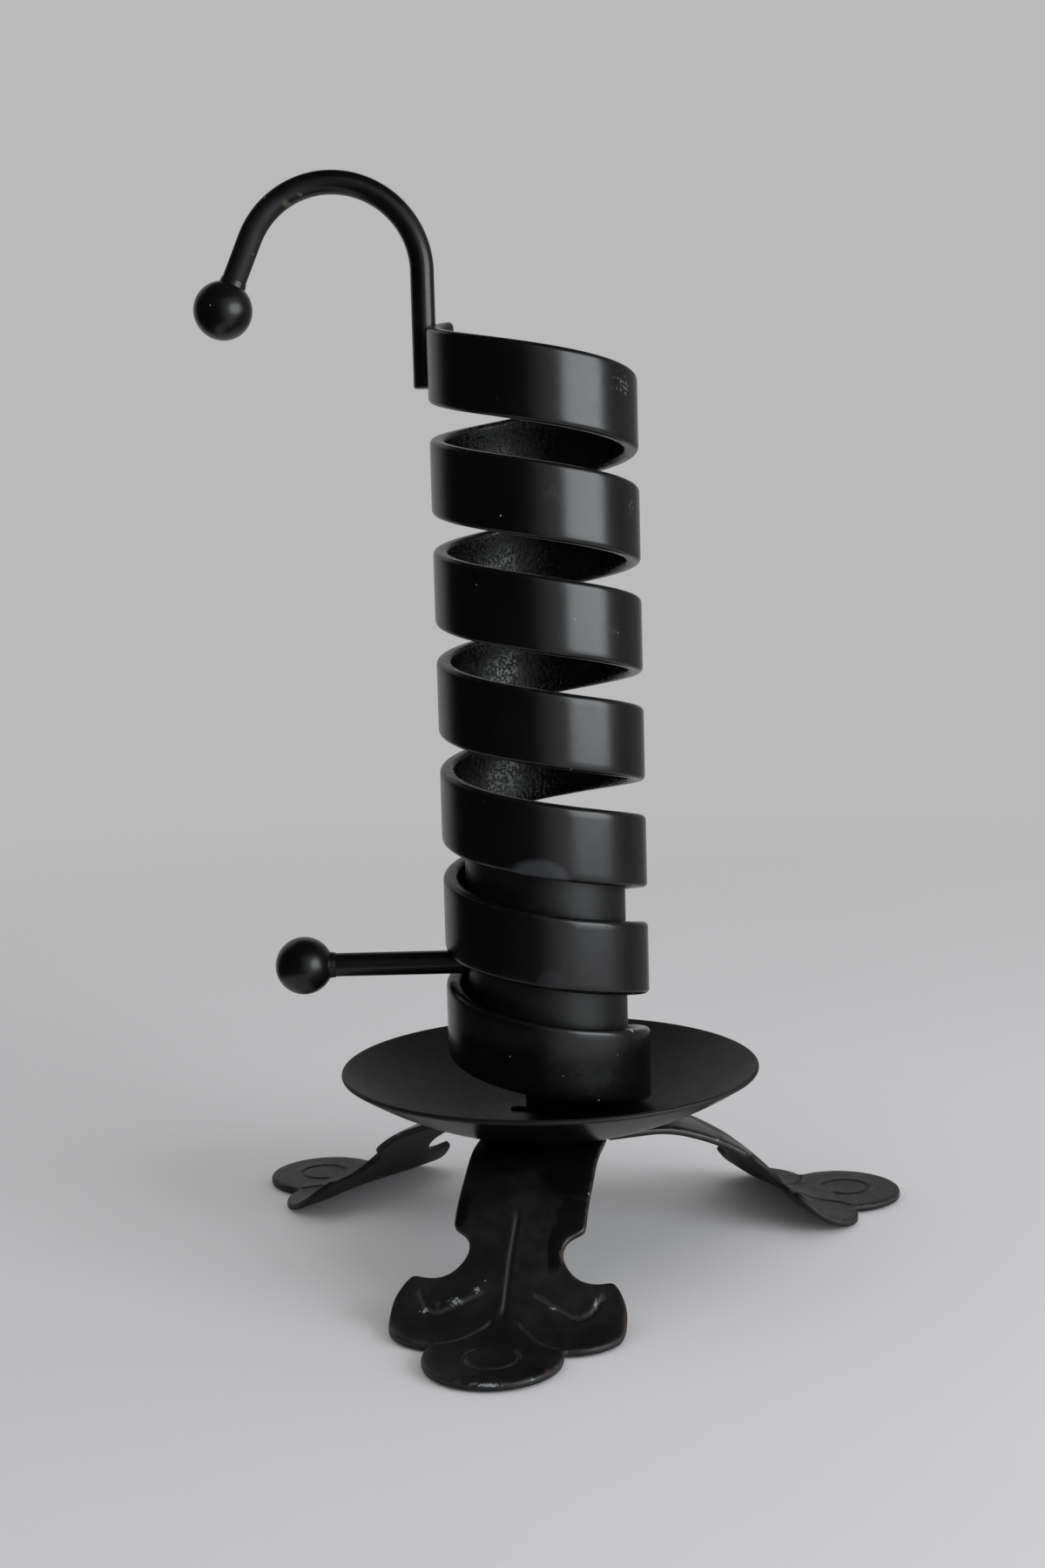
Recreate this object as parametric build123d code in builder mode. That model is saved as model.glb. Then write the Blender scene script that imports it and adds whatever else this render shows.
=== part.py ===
"""Spiral candle holder: a wound flat strip on a dished pan with three stamped legs.

The candle stands in a cup inside the spiral. A lever rod on the cup runs in the gap between the
turns, so turning the lever screws the cup, and with it the candle, up or down.

Millimetres, +Z up. The holder stands on the plane z = 0, and the origin is the middle of its
footprint there. The spiral's upright axis is set off from it, because the legs and the carrying
hook do not reach equally far to all sides.
"""

import os
from math import atan, ceil, cos, degrees, pi, radians, sin, sqrt, tan

from build123d import *

# Spiral: a flat strip wound on edge, left-handed, so it rises clockwise seen from above
spiral_radius = 17.25
strip_thickness = 2.5
strip_width = 12.2
strip_edge_round = 0.8
strip_pitch = 18.2
strip_turns = 6.64
landing_azimuth = 18.0
landing_gap = 0.8

# Tail: the strip's lower end, turned inwards across the pan and welded down
tail_thickness = 2.2
tail_bend_radius = 5.0
tail_turn = 92.0
tail_length = 13.6
tail_overlap_angle = 7.0
tail_weld_size = 1.8
tail_weld_inset = 2.0

# Drip pan: a spherical dish with a small flat floor
pan_radius = 35.6
pan_curve_radius = 65.0
pan_flat_radius = 12.0
pan_sheet = 1.3
pan_lip_round = 0.45

# Legs: stamped sheet straps that arch down to trefoil feet, bent by hand, the right one further out
leg_names = ["leg_front", "leg_right", "leg_left"]
front_leg_azimuth = 260.2
leg_sheet = 1.2
leg_height = 20.1
leg_knee = 17.6
leg_break = 29.3
right_leg_break = 32.1
leg_break_shares = (0.76, 0.742, 0.76)
leg_slopes = (41.3, 47.5, 41.3)
leg_knee_radius = 16.0
leg_break_radius = 12.0
leg_toe_radius = 5.0
leg_gap = 0.3
strap_width = 21.0
notch_radius = 3.3
notch_reach = 35.9
notch_offset = 10.6
lobe_radius = 8.5
lobe_step = 8.3
lobe_offset = 9.8
toe_radius = 10.5
toe_step = 11.65

# Lines pressed into the top of each foot
groove_width = 0.9
groove_depth = 0.3
stem_groove_inset = 5.3
stem_groove_length = 12.8
ring_groove_radius = 4.1
ring_groove_step = 0.9
ring_groove_opening = 95.0
curl_start_shares = (-0.39, -0.69)
curl_bend_shares = (-0.12, -0.2)
curl_end_shares = (-0.32, 0.51)
vein_start_shares = (-1.04, 0.21)
vein_middle_shares = (-0.56, 0.53)
vein_end_shares = (-0.31, 0.92)

# Carrying hook: a bent rod welded to the outside of the top turn
rod_diameter = 4.0
ball_diameter = 9.8
ball_neck_length = 1.0
ball_neck_flare = 0.7
ball_neck_wall = 0.25
hook_setback_angle = 11.3
hook_swing = 25.3
hook_drop = 4.4
hook_stem = 19.3
hook_bend_radius = 14.8
hook_bend_angle = 157.0
hook_tip = 12.58
hook_weld_radius = 1.5
hook_weld_offset = 1.6
hook_weld_length = 7.0

# Candle lifter: the cup, its loose floor disc and the lever
cup_radius = 13.5
cup_wall = 1.2
cup_height = 37.0
cup_lip = 2.6
cup_rim_round = 0.4
cup_foot_step = 0.4
floor_thickness = 1.2
lever_azimuth = 180.0
lever_reach = 41.4
lever_down_angle = 20.0

# Clearances
weld_gap = 0.05
press_gap = 0.02
floor_side_gap = 0.15
floor_seat_gap = 0.05
floor_cover = 0.1
cup_tail_gap = 1.0

os.makedirs("parts", exist_ok=True)


def finish(builder, name):
    """Label a finished piece and write it to its own file."""
    builder.part.label = name
    export_step(builder.part, f"parts/{name}.step")
    print(f"{name}: {builder.part.volume:.1f} mm3")


def polar(radius, azimuth):
    """Place in plan at a distance from the spiral's axis."""
    return radius * cos(radians(azimuth)), radius * sin(radians(azimuth))


# Heights of the pan, which sits on the legs
pan_floor = leg_height + pan_sheet
pan_curve_centre = pan_floor + sqrt(pan_curve_radius**2 - pan_flat_radius**2)
outer_curve_radius = pan_curve_radius + pan_sheet
inner_lip_radius = pan_radius * pan_curve_radius / outer_curve_radius
outer_flat_radius = sqrt(outer_curve_radius**2 - (pan_curve_centre - leg_height) ** 2)


def dish_height(radius, curve_radius=pan_curve_radius):
    """Height of a spherical face of the pan at a distance from the axis."""
    return pan_curve_centre - sqrt(curve_radius**2 - radius**2)


# Run of the strip: its middle line climbs from the landing on the pan
strip_radius = spiral_radius - strip_thickness / 2
landing_height = dish_height(spiral_radius) + landing_gap + strip_width / 2
hook_unwound = 360 * strip_turns - hook_setback_angle
lever_unwound = (landing_azimuth - lever_azimuth) % 360


def strip_height(unwound):
    """Height of the strip's middle line after an angle unwound from the landing."""
    return landing_height + strip_pitch * unwound / 360


# Places of the hook and the lever on the strip
rod_radius = rod_diameter / 2
ball_radius = ball_diameter / 2
hook_azimuth = landing_azimuth - hook_unwound
hook_direction = hook_azimuth + hook_swing
hook_stem_radius = spiral_radius + rod_radius + weld_gap
hook_middle = strip_height(hook_unwound)
hook_foot = hook_middle - hook_drop
hook_reach = hook_bend_radius * (1 - cos(radians(hook_bend_angle)))
hook_reach += hook_tip * sin(radians(hook_bend_angle))
lever_height = strip_height(lever_unwound + 180)

# Footprint round the axis, whose middle is the origin
leg_step = 360 / len(leg_names)
leg_azimuths = [front_leg_azimuth + leg_step * index for index in range(len(leg_names))]
lobe_reach = notch_reach + lobe_step
toe_reach = lobe_reach + toe_step
stem_x, stem_y = polar(hook_stem_radius, hook_azimuth)
swing_x, swing_y = polar(hook_reach, hook_direction)
far_rounds = [(*polar(toe_reach, azimuth), toe_radius) for azimuth in leg_azimuths]
far_rounds.append((stem_x + swing_x, stem_y + swing_y, ball_radius))
axis_x = -(min(x - r for x, y, r in far_rounds) + max(x + r for x, y, r in far_rounds)) / 2
axis_y = -(min(y - r for x, y, r in far_rounds) + max(y + r for x, y, r in far_rounds)) / 2
spindle = Axis((axis_x, axis_y, 0), (0, 0, 1))


def plan_plane(azimuth, height=0):
    """Level plane on the axis, its x towards an azimuth."""
    return Plane((axis_x, axis_y, height), x_dir=(*polar(1, azimuth), 0), z_dir=(0, 0, 1))


def side_plane(azimuth, place=(0, 0)):
    """Upright plane at a place in plan from the axis, its x towards an azimuth and its y up."""
    return Plane(
        (axis_x + place[0], axis_y + place[1], 0),
        x_dir=(*polar(1, azimuth), 0),
        z_dir=(*polar(1, azimuth - 90), 0),
    )


def dish_line(lift):
    """Draw the pan's inner face from the axis to the lip, raised by a small lift."""
    middle_radius = (pan_flat_radius + inner_lip_radius) / 2
    Line((0, pan_floor + lift), (pan_flat_radius, pan_floor + lift))
    ThreePointArc(
        (pan_flat_radius, pan_floor + lift),
        (middle_radius, dish_height(middle_radius) + lift),
        (inner_lip_radius, dish_height(inner_lip_radius) + lift),
    )


# Drip pan, turned about the axis
outer_middle = (outer_flat_radius + pan_radius) / 2
inner_lip = (inner_lip_radius, dish_height(inner_lip_radius))
outer_lip = (pan_radius, dish_height(pan_radius, outer_curve_radius))

with BuildPart() as drip_pan:
    with BuildSketch(side_plane(0)) as pan_section:
        with BuildLine():
            dish_line(0)
            Line(inner_lip, outer_lip)
            ThreePointArc(
                outer_lip,
                (outer_middle, dish_height(outer_middle, outer_curve_radius)),
                (outer_flat_radius, leg_height),
            )
            Polyline((outer_flat_radius, leg_height), (0, leg_height), (0, pan_floor))
        make_face()
        fillet(pan_section.vertices().sort_by(Axis.X)[-2:], pan_lip_round)
    revolve(axis=spindle)
finish(drip_pan, "drip_pan")


# Tail: cut below to the pan's inner face, with room for the weld
tail_top = pan_floor + strip_width
tail_bend_centre = strip_radius - tail_bend_radius
bend_x, bend_y = polar(tail_bend_radius, tail_turn)
run_x, run_y = polar(tail_length, tail_turn + 90)
bend_end = Vector(tail_bend_centre + bend_x, bend_y)
tail_tip = bend_end + Vector(run_x, run_y)

with BuildPart() as pan_space:
    with BuildSketch(side_plane(0)):
        with BuildLine():
            dish_line(weld_gap)
            Polyline(
                (inner_lip_radius, dish_height(inner_lip_radius) + weld_gap),
                (inner_lip_radius, 0),
                (0, 0),
                (0, pan_floor + weld_gap),
            )
        make_face()
    revolve(axis=spindle)

with BuildPart() as tail:
    with BuildSketch(plan_plane(landing_azimuth)):
        with BuildLine():
            CenterArc((0, 0), strip_radius, -tail_overlap_angle, tail_overlap_angle)
            CenterArc((tail_bend_centre, 0), tail_bend_radius, 0, tail_turn)
            Line(bend_end, tail_tip)
        trace(line_width=tail_thickness)
    extrude(amount=tail_top)
    add(pan_space.part, mode=Mode.SUBTRACT)


# Spiral: the wound strip, drawn in runs of about a turn, and its tail are one piece
run_count = ceil(strip_turns)
run_angle = 360 * strip_turns / run_count

with BuildPart() as spiral:
    for index in range(run_count):
        run_azimuth = landing_azimuth - run_angle * index
        run = Helix(
            pitch=strip_pitch,
            height=strip_pitch * run_angle / 360,
            radius=strip_radius,
            center=(axis_x, axis_y, strip_height(run_angle * index)),
            lefthand=True,
            mode=Mode.PRIVATE,
        ).rotate(spindle, run_azimuth)
        with BuildSketch(Plane(run @ 0, x_dir=(*polar(1, run_azimuth), 0), z_dir=run % 0)):
            RectangleRounded(strip_thickness, strip_width, strip_edge_round)
        sweep(path=run, is_frenet=True)
    add(tail.part)
finish(spiral, "spiral")


def strip_edge(unwound, side):
    """Point on the strip's upper (1) or lower (-1) edge after an angle unwound."""
    across = side * strip_width / 2
    azimuth = landing_azimuth - unwound + degrees(across * sin(climb) / strip_radius)
    return Vector(*polar(strip_radius, azimuth), strip_height(unwound) + across * cos(climb))


climb = atan(strip_pitch / (2 * pi * strip_radius))
upper_edge = strip_edge(0, 1)
next_turn = [strip_edge(unwound, -1) for unwound in range(300, 420)]
turn_gap = min((point - upper_edge).length for point in next_turn)
print(f"least gap between turns: {turn_gap:.2f} mm")


# Welds along both sides of the tail's foot
weld_middle = plan_plane(landing_azimuth, pan_floor).from_local_coords((bend_end + tail_tip) / 2)
weld_face = tail_thickness / 2
weld_toe = weld_face + tail_weld_size

for name, side_azimuth in (("tail_weld_front", 180), ("tail_weld_back", 0)):
    away = Vector(*polar(1, landing_azimuth + tail_turn + side_azimuth), 0)
    weld_plane = Plane(weld_middle, x_dir=away, z_dir=away.cross(Vector(0, 0, 1)))
    with BuildPart() as tail_weld:
        with BuildSketch(weld_plane):
            with BuildLine():
                Polyline((weld_face, 0), (weld_toe, 0), (weld_face, tail_weld_size), close=True)
            make_face()
        extrude(amount=tail_length / 2 - tail_weld_inset, both=True)
    finish(tail_weld, name)


# Legs: an arched sheet cut to the outline of strap, notches, side lobes and toe
leg_inner = strap_width / 2 / tan(pi / len(leg_names)) + leg_gap
leg_breaks = (leg_break, right_leg_break, leg_break)
toe_end = toe_reach + toe_radius
lobe_shoulder = notch_reach + notch_radius
foot_half_width = lobe_offset + lobe_radius


def sheet_band(leg_number, depth):
    """Arched sheet of a given depth under a leg's top face, as wide as the foot."""
    break_reach = leg_breaks[leg_number]
    break_height = leg_break_shares[leg_number] * leg_height
    toe_bend = break_reach + (break_height - leg_sheet) / tan(radians(leg_slopes[leg_number]))
    with BuildPart() as band:
        with BuildSketch(side_plane(leg_azimuths[leg_number])):
            with BuildLine():
                top_face = FilletPolyline(
                    (leg_inner, leg_height),
                    (leg_knee, leg_height),
                    (break_reach, break_height),
                    (toe_bend, leg_sheet),
                    (toe_end, leg_sheet),
                    radius=[leg_knee_radius, leg_break_radius, leg_toe_radius],
                )
                offset(top_face, amount=depth, side=Side.RIGHT)
            make_face()
        extrude(amount=foot_half_width, both=True)
    return band.part


def lobe_place(shares, side):
    """Place in a side lobe, as shares of its radius from its centre."""
    return lobe_reach + shares[0] * lobe_radius, side * (lobe_offset + shares[1] * lobe_radius)


def toe_place(shares, side):
    """Place in the toe, as shares of its radius from its centre."""
    return toe_reach + shares[0] * toe_radius, side * shares[1] * toe_radius


def foot_grooves(leg_number):
    """Pressed lines: a stem, a curl in each side lobe, a vein to each cleft and a ring."""
    stem_start = notch_reach - stem_groove_inset
    ring_reach = toe_reach + ring_groove_step
    ring_turn = 360 - ring_groove_opening
    with BuildPart() as grooves:
        add(sheet_band(leg_number, groove_depth))
        with BuildSketch(plan_plane(leg_azimuths[leg_number])):
            with BuildLine():
                Line((stem_start, 0), (stem_start + stem_groove_length, 0))
                CenterArc((ring_reach, 0), ring_groove_radius, -ring_turn / 2, ring_turn)
                for side in (1, -1):
                    curl_bend = lobe_place(curl_bend_shares, side)
                    rise = Line(lobe_place(curl_start_shares, side), curl_bend)
                    TangentArc(curl_bend, lobe_place(curl_end_shares, side), tangent=rise % 1)
                    ThreePointArc(
                        toe_place(vein_start_shares, side),
                        toe_place(vein_middle_shares, side),
                        toe_place(vein_end_shares, side),
                    )
            trace(line_width=groove_width)
        extrude(amount=leg_height, mode=Mode.INTERSECT)
    return grooves.part


for leg_number, name in enumerate(leg_names):
    leg_sheet_part = sheet_band(leg_number, leg_sheet)
    groove_part = foot_grooves(leg_number)
    with BuildPart() as leg:
        add(leg_sheet_part)
        with BuildSketch(plan_plane(leg_azimuths[leg_number])):
            with Locations((leg_inner, 0)):
                Rectangle(lobe_reach - leg_inner, strap_width, align=(Align.MIN, Align.CENTER))
            with Locations((lobe_reach, lobe_offset), (lobe_reach, -lobe_offset)):
                Circle(lobe_radius)
            with Locations((lobe_shoulder, notch_offset)):
                Rectangle(
                    lobe_radius, lobe_radius, align=(Align.MAX, Align.MIN), mode=Mode.SUBTRACT
                )
            with Locations((lobe_shoulder, -notch_offset)):
                Rectangle(
                    lobe_radius, lobe_radius, align=(Align.MAX, Align.MAX), mode=Mode.SUBTRACT
                )
            with Locations((notch_reach, notch_offset), (notch_reach, -notch_offset)):
                Circle(notch_radius, mode=Mode.SUBTRACT)
            with Locations((toe_reach, 0)):
                Circle(toe_radius)
        extrude(amount=leg_height, mode=Mode.INTERSECT)
        add(groove_part, mode=Mode.SUBTRACT)
    finish(leg, name)


def make_ball(name, centre, towards_rod):
    """Drilled ball with a short neck, pushed on a rod end."""
    neck_radius = rod_radius + ball_neck_flare
    neck_foot = sqrt(ball_radius**2 - neck_radius**2)
    with BuildPart(Plane(centre, z_dir=towards_rod)) as ball:
        Sphere(ball_radius)
        with Locations((0, 0, neck_foot)):
            Cone(
                neck_radius,
                rod_radius + ball_neck_wall,
                ball_radius - neck_foot + ball_neck_length,
                align=(Align.CENTER, Align.CENTER, Align.MIN),
            )
        Cylinder(
            rod_radius + press_gap,
            ball_diameter,
            align=(Align.CENTER, Align.CENTER, Align.MIN),
            mode=Mode.SUBTRACT,
        )
    finish(ball, name)


# Carrying hook
hook_plane = side_plane(hook_direction, (stem_x, stem_y))
hook_bend_start = (0, hook_foot + hook_stem)

with BuildPart() as hook_rod:
    with BuildLine(hook_plane) as hook_run:
        Line((0, hook_foot), hook_bend_start)
        bend = JernArc(hook_bend_start, (0, 1), hook_bend_radius, -hook_bend_angle)
        Line(bend @ 1, bend @ 1 + (bend % 1) * hook_tip)
    with BuildSketch(plan_plane(hook_azimuth, hook_foot)):
        with Locations((hook_stem_radius, 0)):
            Circle(rod_radius)
    sweep()
finish(hook_rod, "hook_rod")

hook_end = hook_run.wire() @ 1
make_ball("hook_ball", hook_end, -(hook_run.wire() % 1))

for name, side in (("hook_weld_front", 1), ("hook_weld_back", -1)):
    with BuildPart() as hook_weld:
        with BuildSketch(plan_plane(hook_azimuth, hook_middle)):
            with Locations((spiral_radius, side * hook_weld_offset)):
                Circle(hook_weld_radius)
            Circle(spiral_radius + weld_gap, mode=Mode.SUBTRACT)
            with Locations((hook_stem_radius, 0)):
                Circle(rod_radius + press_gap, mode=Mode.SUBTRACT)
        extrude(amount=hook_weld_length / 2, both=True)
    finish(hook_weld, name)


# Candle lifter
cup_bottom = tail_top + cup_tail_gap + strip_pitch * lever_down_angle / 360
cup_top = cup_bottom + cup_height
bore_radius = cup_radius - cup_wall
foot_radius = bore_radius - cup_foot_step
floor_bottom = cup_bottom + cup_wall + floor_seat_gap
bore_bottom = floor_bottom + floor_thickness + floor_cover
lever_direction = (*polar(1, lever_azimuth), 0)
lever_plane = Plane((axis_x, axis_y, lever_height), z_dir=lever_direction)

with BuildPart() as cup_tube:
    with BuildSketch(side_plane(0)) as cup_section:
        with BuildLine():
            Polyline(
                (bore_radius - cup_lip, cup_bottom),
                (cup_radius, cup_bottom),
                (cup_radius, cup_top),
                (bore_radius, cup_top),
                (bore_radius, bore_bottom),
                (foot_radius, bore_bottom),
                (foot_radius, cup_bottom + cup_wall),
                (bore_radius - cup_lip, cup_bottom + cup_wall),
                close=True,
            )
        make_face()
        fillet(cup_section.vertices().sort_by(Axis.Y)[-2:], cup_rim_round)
    revolve(axis=spindle)
    with BuildSketch(lever_plane.offset(bore_radius - cup_wall)):
        Circle(rod_radius + press_gap)
    extrude(amount=3 * cup_wall, mode=Mode.SUBTRACT)
finish(cup_tube, "cup_tube")

with BuildPart() as cup_floor:
    with BuildSketch(plan_plane(0, floor_bottom)):
        Circle(foot_radius - floor_side_gap)
    extrude(amount=floor_thickness)
finish(cup_floor, "cup_floor")

with BuildPart() as lever_rod:
    with BuildSketch(lever_plane.offset(bore_radius + weld_gap)):
        Circle(rod_radius)
    extrude(amount=lever_reach - bore_radius - weld_gap)
finish(lever_rod, "lever_rod")

make_ball("lever_ball", lever_plane.from_local_coords((0, 0, lever_reach)), -lever_plane.z_dir)

print(f"spiral axis at x {axis_x:.3f}, y {axis_y:.3f}; lever height {lever_height:.3f}")
print(f"cup from {cup_bottom:.3f} to {cup_top:.3f}; bore from {bore_bottom:.3f}")
print(f"hook from azimuth {hook_azimuth % 360:.2f}, foot {hook_foot:.2f}, ball {hook_end}")
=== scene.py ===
"""Looks of the spiral candle holder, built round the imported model.

Every piece stands for one solid of the model and rides on that solid's body. Sizes are in
millimetres from the spiral's upright axis, and turn to metres when a mesh is made.
"""

import logging
import math
from collections.abc import Callable
from dataclasses import dataclass, field
from enum import Enum
from functools import partial

import bmesh
import bpy
import numpy as np
from mathutils import Matrix, Vector
from mathutils.geometry import delaunay_2d_cdt


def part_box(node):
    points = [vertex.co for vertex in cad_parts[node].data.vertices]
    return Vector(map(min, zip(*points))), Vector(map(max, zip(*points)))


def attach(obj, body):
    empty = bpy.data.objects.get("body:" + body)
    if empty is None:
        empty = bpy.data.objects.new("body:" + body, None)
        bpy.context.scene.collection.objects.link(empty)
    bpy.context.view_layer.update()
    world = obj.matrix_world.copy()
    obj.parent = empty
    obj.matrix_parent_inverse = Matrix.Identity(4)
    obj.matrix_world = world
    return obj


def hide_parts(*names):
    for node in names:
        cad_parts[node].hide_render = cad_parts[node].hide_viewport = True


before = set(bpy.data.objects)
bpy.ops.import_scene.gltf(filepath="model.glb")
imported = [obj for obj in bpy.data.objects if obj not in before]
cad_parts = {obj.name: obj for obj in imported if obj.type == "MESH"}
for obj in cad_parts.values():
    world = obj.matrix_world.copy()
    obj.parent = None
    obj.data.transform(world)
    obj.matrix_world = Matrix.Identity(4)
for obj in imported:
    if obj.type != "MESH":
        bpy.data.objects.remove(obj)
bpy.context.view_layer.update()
MM = 0.001
ROD_SEGMENTS = 40
BEAD_SEGMENTS = 24
Spots = tuple[tuple[float, float, float, float], ...]
Adder = Callable[..., bpy.types.Node]
Socket = bpy.types.NodeSocket
Coat = tuple[Socket, Socket]
log = logging.getLogger("candle_holder")


class Body(Enum):
    """Bodies that pieces ride on."""

    STAND = "stand"
    SEAT = "seat"
    LIFTER = "lifter"


class Slot(Enum):
    """Finishes named in the record."""

    STRIP = "strip_paint"
    WELD = "weld_paint"
    PAN = "pan_paint"
    LEG = "leg_paint"
    CUP = "cup_paint"
    ROD = "rod_paint"


def linear(code: str) -> tuple[float, float, float, float]:
    """Turn an sRGB hex colour to linear light.

    Args:
        code: colour such as "#1a1a1a".

    Returns:
        Red, green, blue and an alpha of 1.
    """
    shares = [int(code[place : place + 2], 16) / 255 for place in (1, 3, 5)]
    red, green, blue = (v / 12.92 if v <= 0.04045 else ((v + 0.055) / 1.055) ** 2.4 for v in shares)
    return red, green, blue, 1.0


def empty_tree(owner: bpy.types.Material | bpy.types.World) -> bpy.types.NodeTree:
    """Give a material or a world a node tree with nothing in it.

    Args:
        owner: the material or the world.

    Returns:
        The empty tree.
    """
    owner.use_nodes = True
    owner.node_tree.nodes.clear()
    return owner.node_tree


def add_node(
    tree: bpy.types.NodeTree, kind: str, sockets: dict | None = None, **settings: object
) -> bpy.types.Node:
    """Add one node with its settings and links.

    Args:
        tree: node tree that takes the node.
        kind: Blender's name for the node.
        sockets: for each input, by name or number, a value or the output that feeds it.
        settings: the node's own settings.

    Returns:
        The new node.
    """
    node = tree.nodes.new(kind)
    for name, value in settings.items():
        setattr(node, name, value)
    for key, value in (sockets or {}).items():
        if isinstance(value, Socket):
            tree.links.new(value, node.inputs[key])
        else:
            node.inputs[key].default_value = value
    return node


@dataclass
class Skin:
    """Points, faces and point values of one piece, in millimetres from the axis."""

    points: np.ndarray
    faces: list[tuple[int, ...]]
    values: dict[str, np.ndarray] = field(default_factory=dict)

    def moved(self, matrix: Matrix) -> "Skin":
        """Return the skin with its points put through a matrix."""
        turn = np.array(matrix.to_3x3())
        return Skin(self.points @ turn.T + np.array(matrix.translation), self.faces, self.values)

    def joined(self, other: "Skin") -> "Skin":
        """Join this skin with another one.

        Args:
            other: a skin with the same point values.

        Returns:
            One skin of both.
        """
        start = len(self.points)
        faces = self.faces + [tuple(corner + start for corner in face) for face in other.faces]
        values = {name: np.concatenate([value, other.values[name]]) for name, value in self.values.items()}
        return Skin(np.concatenate([self.points, other.points]), faces, values)

    def to_object(self, name: str, axis: Vector) -> bpy.types.Object:
        """Make a smooth mesh object.

        Args:
            name: the object's name.
            axis: foot of the spiral's axis in the frame, in metres.

        Returns:
            The object, with each point value as an attribute.
        """
        mesh = bpy.data.meshes.new(name)
        places = self.points * MM + np.array(axis)
        mesh.from_pydata(places.tolist(), [], self.faces)
        for label, value in self.values.items():
            layer = mesh.attributes.new(label, "FLOAT", "POINT")
            layer.data.foreach_set("value", np.asarray(value, np.float32))
        work = bmesh.new()
        work.from_mesh(mesh)
        bmesh.ops.recalc_face_normals(work, faces=work.faces)
        work.to_mesh(mesh)
        work.free()
        mesh.shade_smooth()
        thing = bpy.data.objects.new(name, mesh)
        bpy.context.scene.collection.objects.link(thing)
        return thing


def skin_rings(rings: np.ndarray, endless: bool = False) -> Skin:
    """Join rings of points into a skin.

    Args:
        rings: rows of closed rings, as an array of rows, columns and 3.
        endless: whether the last ring joins the first; otherwise both ends are capped.

    Returns:
        The skin, with the two caps as its last faces.
    """
    rows, columns = rings.shape[:2]
    index = np.arange(rows * columns).reshape(rows, columns)
    lower = index if endless else index[:-1]
    upper = np.roll(index, -1, axis=0) if endless else index[1:]
    quads = [lower, np.roll(lower, -1, axis=1), np.roll(upper, -1, axis=1), upper]
    faces = np.stack(quads, axis=-1).reshape(-1, 4).tolist()
    if not endless:
        faces += [index[0, ::-1].tolist(), index[-1].tolist()]
    return Skin(rings.reshape(-1, 3), faces)


def turned(profile: np.ndarray, segments: int, endless: bool) -> tuple[Skin, np.ndarray]:
    """Turn a profile about the upright axis.

    Args:
        profile: radius and height of each point.
        segments: steps round the axis.
        endless: whether the profile is a closed loop.

    Returns:
        The skin, and for each of its points the number of its place in the profile.
    """
    angles = np.linspace(0, 2 * math.pi, segments, endpoint=False)
    radius, height = profile[:, :1], profile[:, 1:]
    rings = [radius * np.cos(angles), radius * np.sin(angles), height + 0 * angles]
    return skin_rings(np.stack(rings, axis=-1), endless), np.repeat(np.arange(len(profile)), segments)


def tube(path: np.ndarray, radii: np.ndarray, across: Vector, segments: int) -> Skin:
    """Draw a round bar along a line that lies in one plane.

    Args:
        path: points of the line.
        radii: radius at each point.
        across: direction square to the line's plane.
        segments: steps round the bar.

    Returns:
        The skin.
    """
    along = np.gradient(path, axis=0)
    along /= np.linalg.norm(along, axis=1, keepdims=True)
    side = np.array(across.normalized())
    lift = np.cross(along, side)
    angles = np.linspace(0, 2 * math.pi, segments, endpoint=False)
    spread = np.cos(angles)[None, :, None] * side + np.sin(angles)[None, :, None] * lift[:, None, :]
    return skin_rings(path[:, None, :] + np.asarray(radii)[:, None, None] * spread)


def arc(centre: tuple[float, float], radius: float, start: float, end: float, steps: int) -> np.ndarray:
    """Points on a circle's arc in a plane, with angles in degrees."""
    angles = np.radians(np.linspace(start, end, steps))
    return np.stack([centre[0] + radius * np.cos(angles), centre[1] + radius * np.sin(angles)], axis=-1)


def smooth(share: np.ndarray) -> np.ndarray:
    """Ease a share from 0 to 1 in and out."""
    return share**2 * (3 - 2 * share)


def spread_along(points: np.ndarray, spacing: float) -> np.ndarray:
    """Walk along a line in even steps.

    Args:
        points: corners of the line.
        spacing: about the length of a step.

    Returns:
        The points at the steps, with both ends.
    """
    steps = np.linalg.norm(np.diff(points, axis=0), axis=1)
    reach = np.concatenate([[0], np.cumsum(steps)])
    places = np.linspace(0, reach[-1], max(2, round(reach[-1] / spacing) + 1))
    return np.stack([np.interp(places, reach, points[:, side]) for side in (0, 1)], axis=-1)


def nearest(places: np.ndarray, line: np.ndarray) -> np.ndarray:
    """Distance from each place to the nearest point of a line."""
    parts = np.array_split(places, max(1, len(places) // 400))
    return np.concatenate([np.sqrt(((part[:, None] - line[None]) ** 2).sum(-1)).min(1) for part in parts])


def inside(places: np.ndarray, loop: np.ndarray) -> np.ndarray:
    """Tell which places are inside a closed loop.

    Args:
        places: two coordinates of each place.
        loop: corners of the loop.

    Returns:
        For each place whether it is inside.
    """
    within = np.zeros(len(places), bool)
    for (x0, y0), (x1, y1) in zip(loop, np.roll(loop, -1, axis=0)):
        crosses = (y0 > places[:, 1]) != (y1 > places[:, 1])
        if y1 != y0:
            within ^= crosses & (places[:, 0] < (x1 - x0) * (places[:, 1] - y0) / (y1 - y0) + x0)
    return within


def blobs(places: np.ndarray, spots: Spots) -> np.ndarray:
    """Height of soft oval spots at each place.

    Args:
        places: two coordinates of each place.
        spots: middle and half sizes of each spot.

    Returns:
        1 in the middle of a spot, 0 at its border and below that outside, but not under -1.
    """
    best = np.full(len(places), -1.0)
    for first, second, half_first, half_second in spots:
        away = np.hypot((places[:, 0] - first) / half_first, (places[:, 1] - second) / half_second)
        best = np.maximum(best, 1 - away)
    return best


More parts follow.
